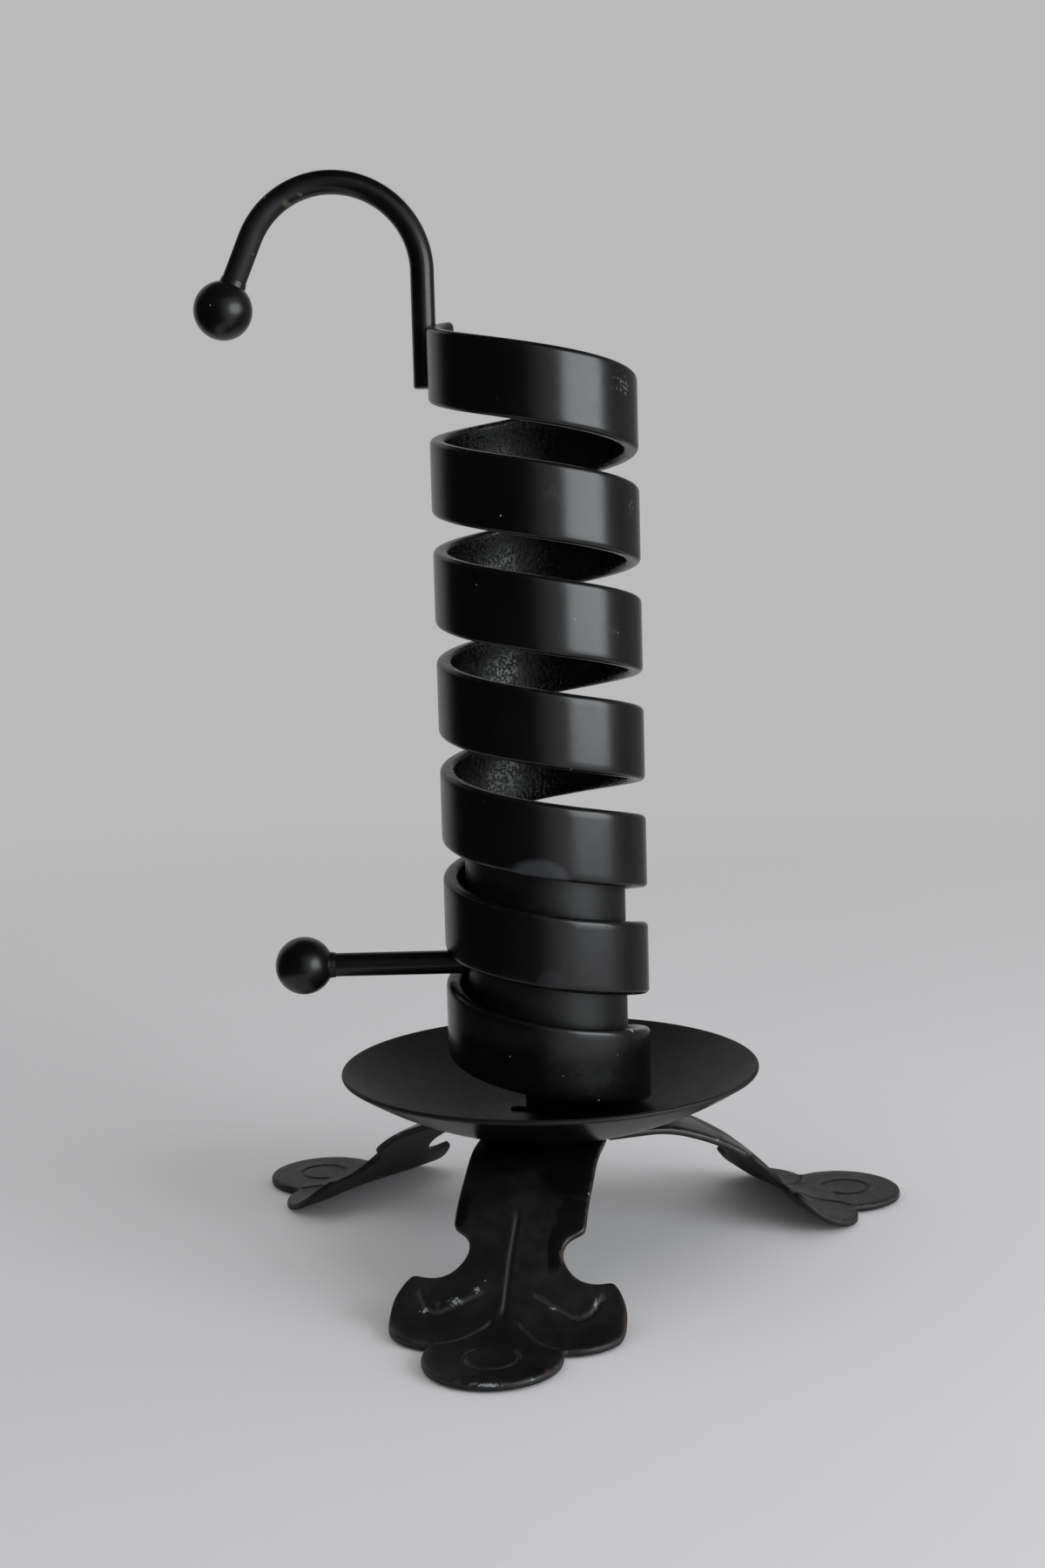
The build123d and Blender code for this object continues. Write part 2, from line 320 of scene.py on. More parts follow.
def laid_over(add: Adder, cover: Socket, below: Coat, colour: str, roughness: float) -> Coat:
    """Cover a coat with another one.

    Args:
        add: adds a node to the material.
        cover: share of the upper coat, from 0 to 1.
        below: colour and roughness of the lower coat.
        colour: sRGB hex colour of the upper coat.
        roughness: roughness of the upper coat.

    Returns:
        Colour and roughness of both together.
    """
    tint = add("ShaderNodeMix", {0: cover, 6: below[0], 7: linear(colour)}, data_type="RGBA")
    return tint.outputs[2], add("ShaderNodeMix", {0: cover, 2: below[1], 3: roughness}).outputs[0]


@dataclass(frozen=True)
class MarkLayer:
    """A mark on the paint, where a point value is above a level.

    Attributes:
        value: name of the point value.
        colour: sRGB hex colour of the mark.
        roughness: roughness of the mark.
        grit: size of the specks that fray the mark's border, in millimetres.
        fray: how far the specks move the border, as a share of the value.
        level: value at which the mark starts.
        soft: rise of the value over which it comes in fully.
        strength: how far the mark covers the paint.
    """

    value: str
    colour: str
    roughness: float
    grit: float
    fray: float
    level: float
    soft: float
    strength: float

    def lay(self, add: Adder, where: Socket, below: Coat) -> Coat:
        """Lay the mark over the paint.

        Args:
            add: adds a node to the material.
            where: coordinates of the pattern.
            below: colour and roughness below the mark.

        Returns:
            Colour and roughness with the mark.
        """
        value = add("ShaderNodeAttribute", attribute_name=self.value).outputs["Fac"]
        grain = {"Scale": 1 / (self.grit * MM), "Detail": 3.0, "Roughness": 0.65}
        grit = add("ShaderNodeTexNoise", {"Vector": where, **grain}).outputs[0]
        frayed = add("ShaderNodeMath", {0: grit, 1: self.fray, 2: value}, operation="MULTIPLY_ADD")
        start = self.level + self.fray / 2
        span = {"From Min": start, "From Max": start + self.soft, "To Max": self.strength}
        cover = add(
            "ShaderNodeMapRange", {"Value": frayed.outputs[0], **span}, interpolation_type="SMOOTHSTEP"
        )
        return laid_over(add, cover.outputs[0], below, self.colour, self.roughness)


@dataclass(frozen=True)
class BlackPaint:
    """Black paint on mild steel.

    Attributes:
        name: the material's name.
        colour: sRGB hex colour of the paint.
        haze: colour of the paint where it has dulled.
        roughness: roughness of the paint.
        roughness_spread: how far the clouds and the fine mottle change it.
        specular: the shader's specular level.
        cloud_size: size of the dulled clouds, in millimetres.
        peel_size: width of the bumps that spraying or dipping leaves, in millimetres.
        speck_spacing: spacing of settled dust specks, in millimetres.
        speck_share: share of these places that hold a speck; the point value "dust" adds to it.
        marks: marks on the paint, from the lowest to the uppermost.
        peel_height: height of the bumps, in millimetres.
        grain_size: width of the coarse grain inside the strip or on a weld, in millimetres.
        grain_height: its height, in millimetres; the point value "grain" says where it is.
        mottle_size: size of the fine mottle, in millimetres.
        speck_colour: colour of the specks.
        speck_core: radius within which a speck covers the paint, in millimetres.
        speck_reach: radius at which it has faded.
        speck_roughness: roughness of the specks.
        cloud_range: noise values between which the paint goes from clear to dulled.
        uneven_range: sums of the two noises that give the lowest and the highest roughness.
        grain_range: noise values between which a grain rises.
    """

    name: str
    colour: str
    haze: str
    roughness: float
    roughness_spread: float
    specular: float
    cloud_size: float
    peel_size: float
    speck_spacing: float
    speck_share: float
    marks: tuple[MarkLayer, ...]
    peel_height: float = 0.006
    grain_size: float = 0.6
    grain_height: float = 0.0
    mottle_size: float = 1.7
    # Real specks are under 0.1 mm; they are drawn up to 0.3 mm wide, or they would not show
    speck_colour: str = "#acaca7"
    speck_core: float = 0.08
    speck_reach: float = 0.15
    speck_roughness: float = 0.8
    cloud_range: tuple[float, float] = (0.38, 0.68)
    uneven_range: tuple[float, float] = (0.7, 1.3)
    grain_range: tuple[float, float] = (0.46, 0.68)

    def make(self) -> bpy.types.Material:
        """Build the material.

        Returns:
            The material, with its pattern in the object's own coordinates.
        """
        material = bpy.data.materials.new(self.name)
        add = partial(add_node, empty_tree(material))
        where = add("ShaderNodeTexCoord").outputs["Object"]
        clouds, mottle = (
            add(
                "ShaderNodeTexNoise",
                {"Vector": where, "Scale": 1 / (size * MM), "Detail": detail, "Roughness": 0.6},
            ).outputs[0]
            for size, detail in ((self.cloud_size, 4.0), (self.mottle_size, 3.0))
        )
        dulled = add(
            "ShaderNodeMapRange",
            {"Value": clouds, "From Min": self.cloud_range[0], "From Max": self.cloud_range[1]},
            interpolation_type="SMOOTHSTEP",
        ).outputs[0]
        tones = {6: linear(self.colour), 7: linear(self.haze)}
        colour = add("ShaderNodeMix", {0: dulled, **tones}, data_type="RGBA").outputs[2]
        uneven = add("ShaderNodeMath", {0: clouds, 1: mottle}, operation="ADD").outputs[0]
        ends = (self.roughness - self.roughness_spread, self.roughness + self.roughness_spread)
        span = dict(zip(("From Min", "From Max", "To Min", "To Max"), self.uneven_range + ends))
        coat = (colour, add("ShaderNodeMapRange", {"Value": uneven, **span}).outputs[0])
        for mark in self.marks:
            coat = mark.lay(add, where, coat)
        colour, roughness = self.lay_specks(add, where, coat)
        surface = {"Base Color": colour, "Roughness": roughness, "Normal": self.raise_surface(add, where)}
        shader = add("ShaderNodeBsdfPrincipled", {**surface, "Specular IOR Level": self.specular})
        add("ShaderNodeOutputMaterial", {"Surface": shader.outputs[0]})
        return material

    def lay_specks(self, add: Adder, where: Socket, below: Coat) -> Coat:
        """Scatter settled dust over the paint.

        Args:
            add: adds a node to the material.
            where: coordinates of the pattern.
            below: colour and roughness below the dust.

        Returns:
            Colour and roughness with the dust.
        """
        spacing = self.speck_spacing
        cells = add("ShaderNodeTexVoronoi", {"Vector": where, "Scale": 1 / (spacing * MM)})
        span = {"From Min": self.speck_reach / spacing, "From Max": self.speck_core / spacing}
        near = add("ShaderNodeMapRange", {"Value": cells.outputs["Distance"], **span}).outputs[0]
        dusty = add("ShaderNodeAttribute", attribute_name="dust").outputs["Fac"]
        share = add("ShaderNodeMath", {0: dusty, 1: self.speck_share}, operation="ADD").outputs[0]
        chosen = add("ShaderNodeMath", {0: cells.outputs["Color"], 1: share}, operation="LESS_THAN")
        cover = add("ShaderNodeMath", {0: near, 1: chosen.outputs[0]}, operation="MULTIPLY")
        return laid_over(add, cover.outputs[0], below, self.speck_colour, self.speck_roughness)

    def raise_surface(self, add: Adder, where: Socket) -> Socket:
        """Add the fine bumps of the paint and the coarse grain.

        The real grain is about 0.2 mm wide, and is drawn up to four times as wide, or it would not show.

        Args:
            add: adds a node to the material.
            where: coordinates of the pattern.

        Returns:
            The bumped normal.
        """
        fine = {"Scale": 1 / (self.peel_size * MM), "Detail": 2.0, "Roughness": 0.5}
        peel = add("ShaderNodeTexNoise", {"Vector": where, **fine}).outputs[0]
        rise = {"Distance": self.peel_height * MM, "Strength": 1.0}
        peeled = add("ShaderNodeBump", {"Height": peel, **rise}).outputs[0]
        coarse = {"Scale": 1 / (self.grain_size * MM), "Detail": 3.0, "Roughness": 0.6}
        grain = add("ShaderNodeTexNoise", {"Vector": where, **coarse}).outputs[0]
        grains = add(
            "ShaderNodeMapRange",
            {"Value": grain, "From Min": self.grain_range[0], "From Max": self.grain_range[1]},
            interpolation_type="SMOOTHSTEP",
        ).outputs[0]
        grained = add("ShaderNodeAttribute", attribute_name="grain").outputs["Fac"]
        height = add("ShaderNodeMath", {0: grains, 1: grained}, operation="MULTIPLY").outputs[0]
        rise = {"Distance": self.grain_height * MM, "Strength": 1.0}
        return add("ShaderNodeBump", {"Height": height, **rise, "Normal": peeled}).outputs[0]


# Paint rubbed thin over an edge, so the edge catches the light as a paler grey line
RUBBED_EDGE = MarkLayer("edge", "#242526", 0.3, 1.1, 0.9, 0.78, 0.5, 0.5)

# Wound steel strip, sprayed satin black: a broad soft sheen, a faint peel, a rough coat inside, and painted
# shade that darkens the tail
STRIP_PAINT = BlackPaint(
    name="mild_steel_strip_sprayed_satin_black",
    colour="#080809",
    haze="#0b0b0c",
    roughness=0.25,
    roughness_spread=0.03,
    specular=0.5,
    cloud_size=11.0,
    peel_size=0.8,
    grain_size=0.55,
    grain_height=0.055,
    speck_spacing=2.3,
    speck_share=0.2,
    marks=(
        RUBBED_EDGE,
        MarkLayer("wax", "#33363b", 0.5, 1.5, 0.25, 0.0, 0.3, 0.7),
        MarkLayer("blot", "#141415", 0.42, 0.9, 1.7, 0.2, 0.6, 0.5),
        # Painted shade: the tail at the spiral's foot is painted near black and matt, for the shade inside
        # the spiral
        MarkLayer("painted_tail_shade", "#040404", 0.75, 0.9, 0.5, 0.1, 0.4, 0.85),
        MarkLayer("scuff", "#777a7d", 0.45, 0.6, 2.4, 0.85, 0.3, 0.65),
        MarkLayer("smudge", "#33363b", 0.5, 1.5, 0.25, 0.0, 0.6, 0.2),
        MarkLayer("haze", "#1d1d1e", 0.5, 2.0, 1.2, 0.2, 0.7, 0.18),
        MarkLayer("chip", "#b4b5b2", 0.6, 0.5, 0.8, 0.1, 0.2, 0.85),
    ),
)

# Pressed sheet pan, sprayed satin black: a dull sheen above, a shinier underside that is also painted darker
# as painted shade, a thin bright lip
PAN_PAINT = BlackPaint(
    name="mild_steel_pressed_sheet_satin_black",
    colour="#0f0f10",
    haze="#151515",
    roughness=0.56,
    roughness_spread=0.05,
    specular=0.38,
    cloud_size=16.0,
    peel_size=0.7,
    peel_height=0.005,
    speck_spacing=3.0,
    speck_share=0.2,
    # The underside is shinier paint, and is painted darker as painted shade
    marks=(MarkLayer("under", "#0a0a0b", 0.24, 6.0, 0.3, 0.4, 0.3, 0.95), RUBBED_EDGE),
)

# Stamped sheet legs, dipped: matt grey-black, darker glossy patches (on the strap under the pan these are
# painted shade and painted reflection of the pan's underside), a painted-shade underside, chips and rust
LEG_PAINT = BlackPaint(
    name="mild_steel_stamped_sheet_dipped_matt_black",
    colour="#141414",
    haze="#1f1f1e",
    roughness=0.5,
    roughness_spread=0.07,
    specular=0.42,
    cloud_size=7.0,
    peel_size=0.6,
    peel_height=0.012,
    grain_size=0.5,
    speck_spacing=2.1,
    speck_share=0.18,
    marks=(
        # Painted shade: the underside is painted near black and duller
        MarkLayer("under", "#060606", 0.7, 3.0, 0.3, 0.4, 0.4, 0.95),
        # Darker glossy paint: paint variations on the shoulders, and painted shade with painted reflection of
        # the pan's underside on the strap under the pan
        MarkLayer("gloss_and_shade", "#070707", 0.28, 4.0, 0.8, 0.0, 0.4, 0.8),
        MarkLayer("groove", "#3b3b37", 0.6, 1.0, 0.7, 0.35, 0.4, 0.48),
        MarkLayer("rust", "#3a211a", 0.8, 0.6, 1.6, 0.3, 0.5, 0.75),
        MarkLayer("edge", "#3c3d3e", 0.5, 1.6, 1.4, 0.75, 0.4, 0.6),
        MarkLayer("chip", "#8f9496", 0.55, 0.4, 1.9, 0.55, 0.3, 0.8),
    ),
)

# Drawn tube and disc of the candle cup, sprayed matt black: duller than the strip round it
CUP_PAINT = BlackPaint(
    name="mild_steel_tube_sprayed_matt_black",
    colour="#0b0b0c",
    haze="#121212",
    roughness=0.4,
    roughness_spread=0.06,
    specular=0.38,
    cloud_size=9.0,
    peel_size=0.7,
    grain_height=0.05,
    speck_spacing=2.6,
    speck_share=0.2,
    marks=(RUBBED_EDGE,),
)

# Drawn rod and turned balls, sprayed satin black: a tight soft highlight along the rod
ROD_PAINT = BlackPaint(
    name="mild_steel_drawn_rod_sprayed_satin_black",
    colour="#0a0a0a",
    haze="#101010",
    roughness=0.3,
    roughness_spread=0.04,
    specular=0.45,
    cloud_size=8.0,
    peel_size=0.6,
    speck_spacing=1.9,
    speck_share=0.2,
    marks=(
        RUBBED_EDGE,
        MarkLayer("dull", "#080808", 0.7, 4.0, 0.4, 0.0, 0.7, 0.85),
        MarkLayer("scuff", "#4a443c", 0.5, 0.5, 1.6, 0.35, 0.3, 0.8),
    ),
)

# Arc-weld beads under thick paint: rippled, lumpy and dull
WELD_PAINT = BlackPaint(
    name="mild_steel_weld_bead_brushed_black",
    colour="#050505",
    haze="#0a0a0a",
    roughness=0.7,
    roughness_spread=0.1,
    specular=0.5,
    cloud_size=3.0,
    peel_size=0.8,
    peel_height=0.015,
    grain_size=1.4,
    grain_height=0.06,
    speck_spacing=2.4,
    speck_share=0.15,
    marks=(RUBBED_EDGE,),
)


@dataclass
class SubAssembly:
    """Pieces that are built and dressed together.

    Attributes:
        axis: foot of the spiral's axis in the frame, in metres.
        pieces: the pieces made so far, by the name of the solid they stand for.
    """

    axis: Vector
    pieces: dict[str, bpy.types.Object] = field(default_factory=dict, init=False)

    def place(self, node: str, skin: Skin, body: Body) -> None:
        """Make a skin's object stand for a solid and ride on its body.

        Args:
            node: name of the solid.
            skin: the piece's skin.
            body: body that it rides on.
        """
        piece = skin.to_object(f"{node}_skin", self.axis)
        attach(piece, body.value)
        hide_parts(node)
        self.pieces[node] = piece
        log.info("%s: %d faces on %s", node, len(piece.data.polygons), body.value)

    def coat(self, material: bpy.types.Material, slot: Slot, *nodes: str) -> None:
        """Give pieces their material.

        Args:
            material: the paint.
            slot: not used.
            nodes: names of the solids that the pieces stand for.
        """
        for node in nodes:
            self.pieces[node].data.materials.append(material)


@dataclass
class Spiral(SubAssembly):
    """The wound strip with its tail, and the two welds that hold the tail on the pan.

    Marks on the strip are given by their place along it, in degrees from the landing, and across it.
    """

    radius: float = 17.25
    thickness: float = 2.5
    width: float = 12.2
    edge_round: float = 0.85
    corner_steps: int = 6
    strip_step: float = 1.0
    tail_step: float = 0.5
    pitch: float = 18.2
    turns: float = 6.64
    landing_azimuth: float = 18.0
    landing_height: float = 29.513
    pan_floor: float = 21.4
    bend_radius: float = 5.0
    bend_turn: float = 92.0
    tail_length: float = 13.6
    tail_gap: float = 0.05
    levelling: float = 11.5
    end_chamfer: float = 0.35
    weld_radius: float = 1.05
    weld_inset: float = 2.0
    weld_lift: float = 0.35
    spatter_end: tuple[float, float] = (-7.0, 4.4)
    spatter_radius: float = 0.5
    spatter_lift: float = 0.2
    # Painted shade on the tail: degrees along it over which the near-black paint comes in
    tail_darkening_turn: float = 30.0
    wax: Spots = ((827, -6.1, 18, 3.6),)
    blots: Spots = ((1901, 1.3, 8, 2.2), (1502, -1.0, 7, 1.3))
    scuffs: Spots = ((2212, 2.6, 24, 5.0), (1846, 1.5, 12, 5.0))
    smudges: Spots = ((463, -4.4, 10.0, 2.3),)
    hazes: Spots = ((92, -2.5, 40, 4.0),)
    dusty: Spots = ((92, -1.2, 60, 9.0),)
    chips: Spots = ((514, 6.3, 1.9, 0.7), (57, 6.2, 1.3, 0.6))

    @property
    def middle_radius(self) -> float:
        """Radius of the strip's middle line."""
        return self.radius - self.thickness / 2

    @property
    def bend_length(self) -> float:
        """Length of the tail's bend."""
        return self.bend_radius * math.radians(self.bend_turn)

    def plan(self, run: np.ndarray) -> tuple[np.ndarray, np.ndarray]:
        """Place and outward direction in plan after a run along the strip.

        Args:
            run: distance in plan from the landing, up the spiral, or below 0 along the tail.

        Returns:
            Places and unit directions, each with two coordinates last.
        """
        wound = -np.maximum(run, 0) / self.middle_radius
        bent = np.clip(-run, 0, self.bend_length) / self.bend_radius
        straight = np.maximum(-run - self.bend_length, 0)
        centre = np.where(run < 0, self.middle_radius - self.bend_radius, 0)
        reach = np.where(run < 0, self.bend_radius, self.middle_radius)
        landing = math.radians(self.landing_azimuth)
        angle = np.where(run < 0, bent, wound) + landing
        out = np.stack([np.cos(angle), np.sin(angle)], axis=-1)
        ahead = np.stack([-np.sin(angle), np.cos(angle)], axis=-1)
        start = np.array([math.cos(landing), math.sin(landing)])
        return centre[..., None] * start + reach[..., None] * out + straight[..., None] * ahead, out

    def height(self, run: np.ndarray) -> np.ndarray:
        """Follow the strip's middle line: it climbs evenly, and its tail levels out on the pan.

        Args:
            run: distance in plan from the landing, as in plan.

        Returns:
            The heights.
        """
        slope = self.pitch / (2 * math.pi * self.middle_radius)
        rest = self.pan_floor + self.width / 2 + self.tail_gap
        share = np.clip(-run / self.levelling, 0, 1)
        start = 2 * share**3 - 3 * share**2 + 1
        fall = -slope * self.levelling * (share**3 - 2 * share**2 + share)
        tail = self.landing_height * start + fall + rest * (1 - start)
        return np.where(run < 0, tail, self.landing_height + slope * run)

    def section(self) -> np.ndarray:
        """Outline of the strip's section.

        Returns:
            For each point its place across the thickness and the width, and how far it is on an edge.
        """
        half_x, half_y, edge = self.thickness / 2, self.width / 2, self.edge_round
        loop = []
        for quarter, (side_x, side_y) in enumerate(((1, 1), (-1, 1), (-1, -1), (1, -1))):
            corner = (side_x * (half_x - edge), side_y * (half_y - edge))
            rounded = arc(corner, edge, 90 * quarter, 90 * quarter + 90, self.corner_steps)
            for place, (x, y) in enumerate(rounded):
                loop.append((x, y, math.sin(math.pi * (place + 0.5) / self.corner_steps)))
            if quarter in (1, 3):
                last = loop[-1]
                loop += [(last[0], -last[1] * step, 0.0) for step in np.linspace(-0.84, 0.84, 9)]
        return np.array(loop)

    def strip_skin(self) -> Skin:
        """Sweep the section along the tail and up the spiral.

        Returns:
            The strip's skin, with the values of its marks.
        """
        tail = self.bend_length + self.tail_length
        length = 2 * math.pi * self.middle_radius * self.turns
        wound = np.arange(0, length, self.strip_step)
        run = np.concatenate([np.arange(-tail, 0, self.tail_step), wound, [length]])
        first, last = run[:1], run[-1:]
        run = np.concatenate(
            [first, first + self.end_chamfer, run[1:-2], last - self.end_chamfer, last]
        )
        section = self.section()
        ends = np.zeros((len(run), 1), bool)
        ends[[0, -1]] = True
        across = section[:, 0] * np.where(ends, 1 - self.end_chamfer / (self.thickness / 2), 1)
        wide = section[:, 1] * np.where(ends, 1 - self.end_chamfer / (self.width / 2), 1)
        tilt = np.arctan(np.gradient(self.height(run), run)[:, None])
        place, out = self.plan(run[:, None] - wide * np.sin(tilt))
        plan = place + across[..., None] * out
        height = self.height(run)[:, None] + wide * np.cos(tilt)
        skin = skin_rings(np.concatenate([plan, height[..., None]], axis=-1))
        unwound = np.repeat(np.degrees(run / self.middle_radius), len(section))
        spots = np.stack([unwound, wide.ravel()], axis=-1)
        outside = (across.ravel() > self.thickness * 0.3) * 1.0
        rubbed = np.tile(section[:, 2], len(run))
        skin.values["edge"] = np.maximum(rubbed, np.repeat(ends[:, 0] * 1.0, len(section)))
        skin.values["grain"] = np.clip(0.5 - across.ravel() * 1.2, 0, 1)
        marks = {"wax": self.wax, "blot": self.blots, "scuff": self.scuffs}
        marks |= {"smudge": self.smudges, "haze": self.hazes}
        for name, listed in marks.items():
            skin.values[name] = (blobs(spots, listed) + 1) * outside - 1
        skin.values["dust"] = np.clip(blobs(spots, self.dusty), 0, 0.5) * outside
        skin.values["chip"] = blobs(spots, self.chips)
        # Painted shade: near-black matt paint along the tail, for the shade inside the spiral
        skin.values["painted_tail_shade"] = np.clip(-unwound / self.tail_darkening_turn - 0.3, -1, 1)
        return skin

    def weld_skin(self, side: int) -> Skin:
        """Lay a lumpy bead along one side of the tail's foot.

        Args:
            side: 1 for the tail's outer side, -1 for its inner side, which also has the spatter.

        Returns:
            The bead's skin.
        """
        tip_run = -self.bend_length - self.tail_length
        run = np.linspace(-self.bend_length - self.weld_inset, tip_run + self.weld_inset, 60)
        place, out = self.plan(run)
        line = place + side * (self.thickness / 2 + self.weld_lift) * out
        line = np.column_stack([line, np.full(len(run), self.pan_floor + self.weld_lift)])
        laid = bead(line, self.weld_radius, 4 + side)
        if side < 0:
            tip, low = self.plan(np.array([tip_run + 0.3]))[0][0], self.pan_floor + self.spatter_lift
            spatter = np.linspace((*tip, low), (*self.spatter_end, low), 30)
            laid = laid.joined(bead(spatter, self.spatter_radius, 2))
        return laid

    def build(self) -> None:
        """Make the strip and its welds."""
        self.place("spiral", self.strip_skin(), Body.STAND)
        self.place("tail_weld_front", self.weld_skin(-1), Body.STAND)
        self.place("tail_weld_back", self.weld_skin(1), Body.STAND)

    def dress(self, strip: bpy.types.Material, weld: bpy.types.Material) -> None:
        """Paint the strip and its welds."""
        self.coat(strip, Slot.STRIP, "spiral")
        self.coat(weld, Slot.WELD, "tail_weld_front", "tail_weld_back")


def bead(line: np.ndarray, radius: float, seed: int) -> Skin:
    """Build a weld bead with ripples and lumps along a straight line.

    Args:
        line: points of the bead's middle line.
        radius: the bead's radius.
        seed: number that settles its lumps.

    Returns:
        The bead's skin.
    """
    ripples, ripple_height, lump_height, pitting = 7, 0.06, 0.16, 0.07
    random = np.random.default_rng(seed)
    share = np.linspace(0, 1, len(line))
    ripple = ripple_height * np.sin(share * 2 * math.pi * ripples + seed)
    lumps = np.interp(share, np.linspace(0, 1, 9), random.uniform(-lump_height, lump_height, 9))
    taper = np.sqrt(np.clip(1 - (2 * share - 1) ** 8, 0.02, 1))
    across = Vector(line[-1] - line[0]).cross(Vector((0, 0, 1)))
    if across.length < 0.01:
        across = Vector((1, 0, 0))
    skin = tube(line, radius * taper * (1 + ripple + lumps), across, BEAD_SEGMENTS)
    middle = np.repeat(line, BEAD_SEGMENTS, axis=0)
    skin.points += (skin.points - middle) * random.uniform(-pitting, pitting, (len(middle), 1))
    skin.values["grain"] = np.ones(len(skin.points))
    skin.values["edge"] = np.zeros(len(skin.points))
    return skin


@dataclass
class DripPan(SubAssembly):
    """The dished pan under the spiral."""

    radius: float = 35.6
    curve_radius: float = 65.0
    flat_radius: float = 12.0
    flat_blend: float = 0.6
    sheet: float = 1.3
    lip_sheet: float = 0.85
    underside: float = 20.1
    pole: float = 0.02
    segments: int = 256

    def build(self) -> None:
        """Turn the pan: a flat floor, a spherical dish that thins outwards, and a rounded lip."""
        floor, half_lip = self.underside + self.sheet, self.lip_sheet / 2
        centre = np.array([0, floor + math.sqrt(self.curve_radius**2 - self.flat_radius**2)])
        flat_end = math.asin(self.flat_radius / self.curve_radius)
        lip = math.asin((self.radius - half_lip) / (self.curve_radius + half_lip))
        angles = np.linspace(flat_end, lip, 44)
        away = np.stack([np.sin(angles), -np.cos(angles)], axis=-1)
        sheet = np.linspace(self.sheet, self.lip_sheet, len(angles))[:, None]
        top = centre + self.curve_radius * away
        below = centre + (self.curve_radius + sheet) * away
        turns = np.linspace(0, math.pi, 12)[1:-1, None]
        ahead = np.array([math.cos(lip), math.sin(lip)])
        rounded = half_lip * (np.sin(turns) * ahead - np.cos(turns) * away[-1])
        rounded = (top[-1] + below[-1]) / 2 + rounded
        flat = np.concatenate([[self.pole], np.linspace(1, self.flat_radius - self.flat_blend, 10)])
        middle = [(r, floor) for r in flat]
        foot = [(r, self.underside) for r in flat[::-1]]
        rows = np.concatenate([middle, top, rounded, below[::-1], foot])
        skin, row = turned(rows, self.segments, True)
        inner = len(middle) + len(top)
        outer = inner + len(rounded)
        skin.values["edge"] = np.where((row >= inner) & (row < outer), 0.85, 0.0)
        # Painted shade: marks the underside, which the paint makes shinier and darker
        skin.values["under"] = np.where(row >= outer, 1.0, 0.0)
        skin.values["grain"] = np.zeros(len(row))
        self.place("drip_pan", skin, Body.STAND)

    def dress(self, pan: bpy.types.Material) -> None:
        """Paint the pan."""
        self.coat(pan, Slot.PAN, "drip_pan")


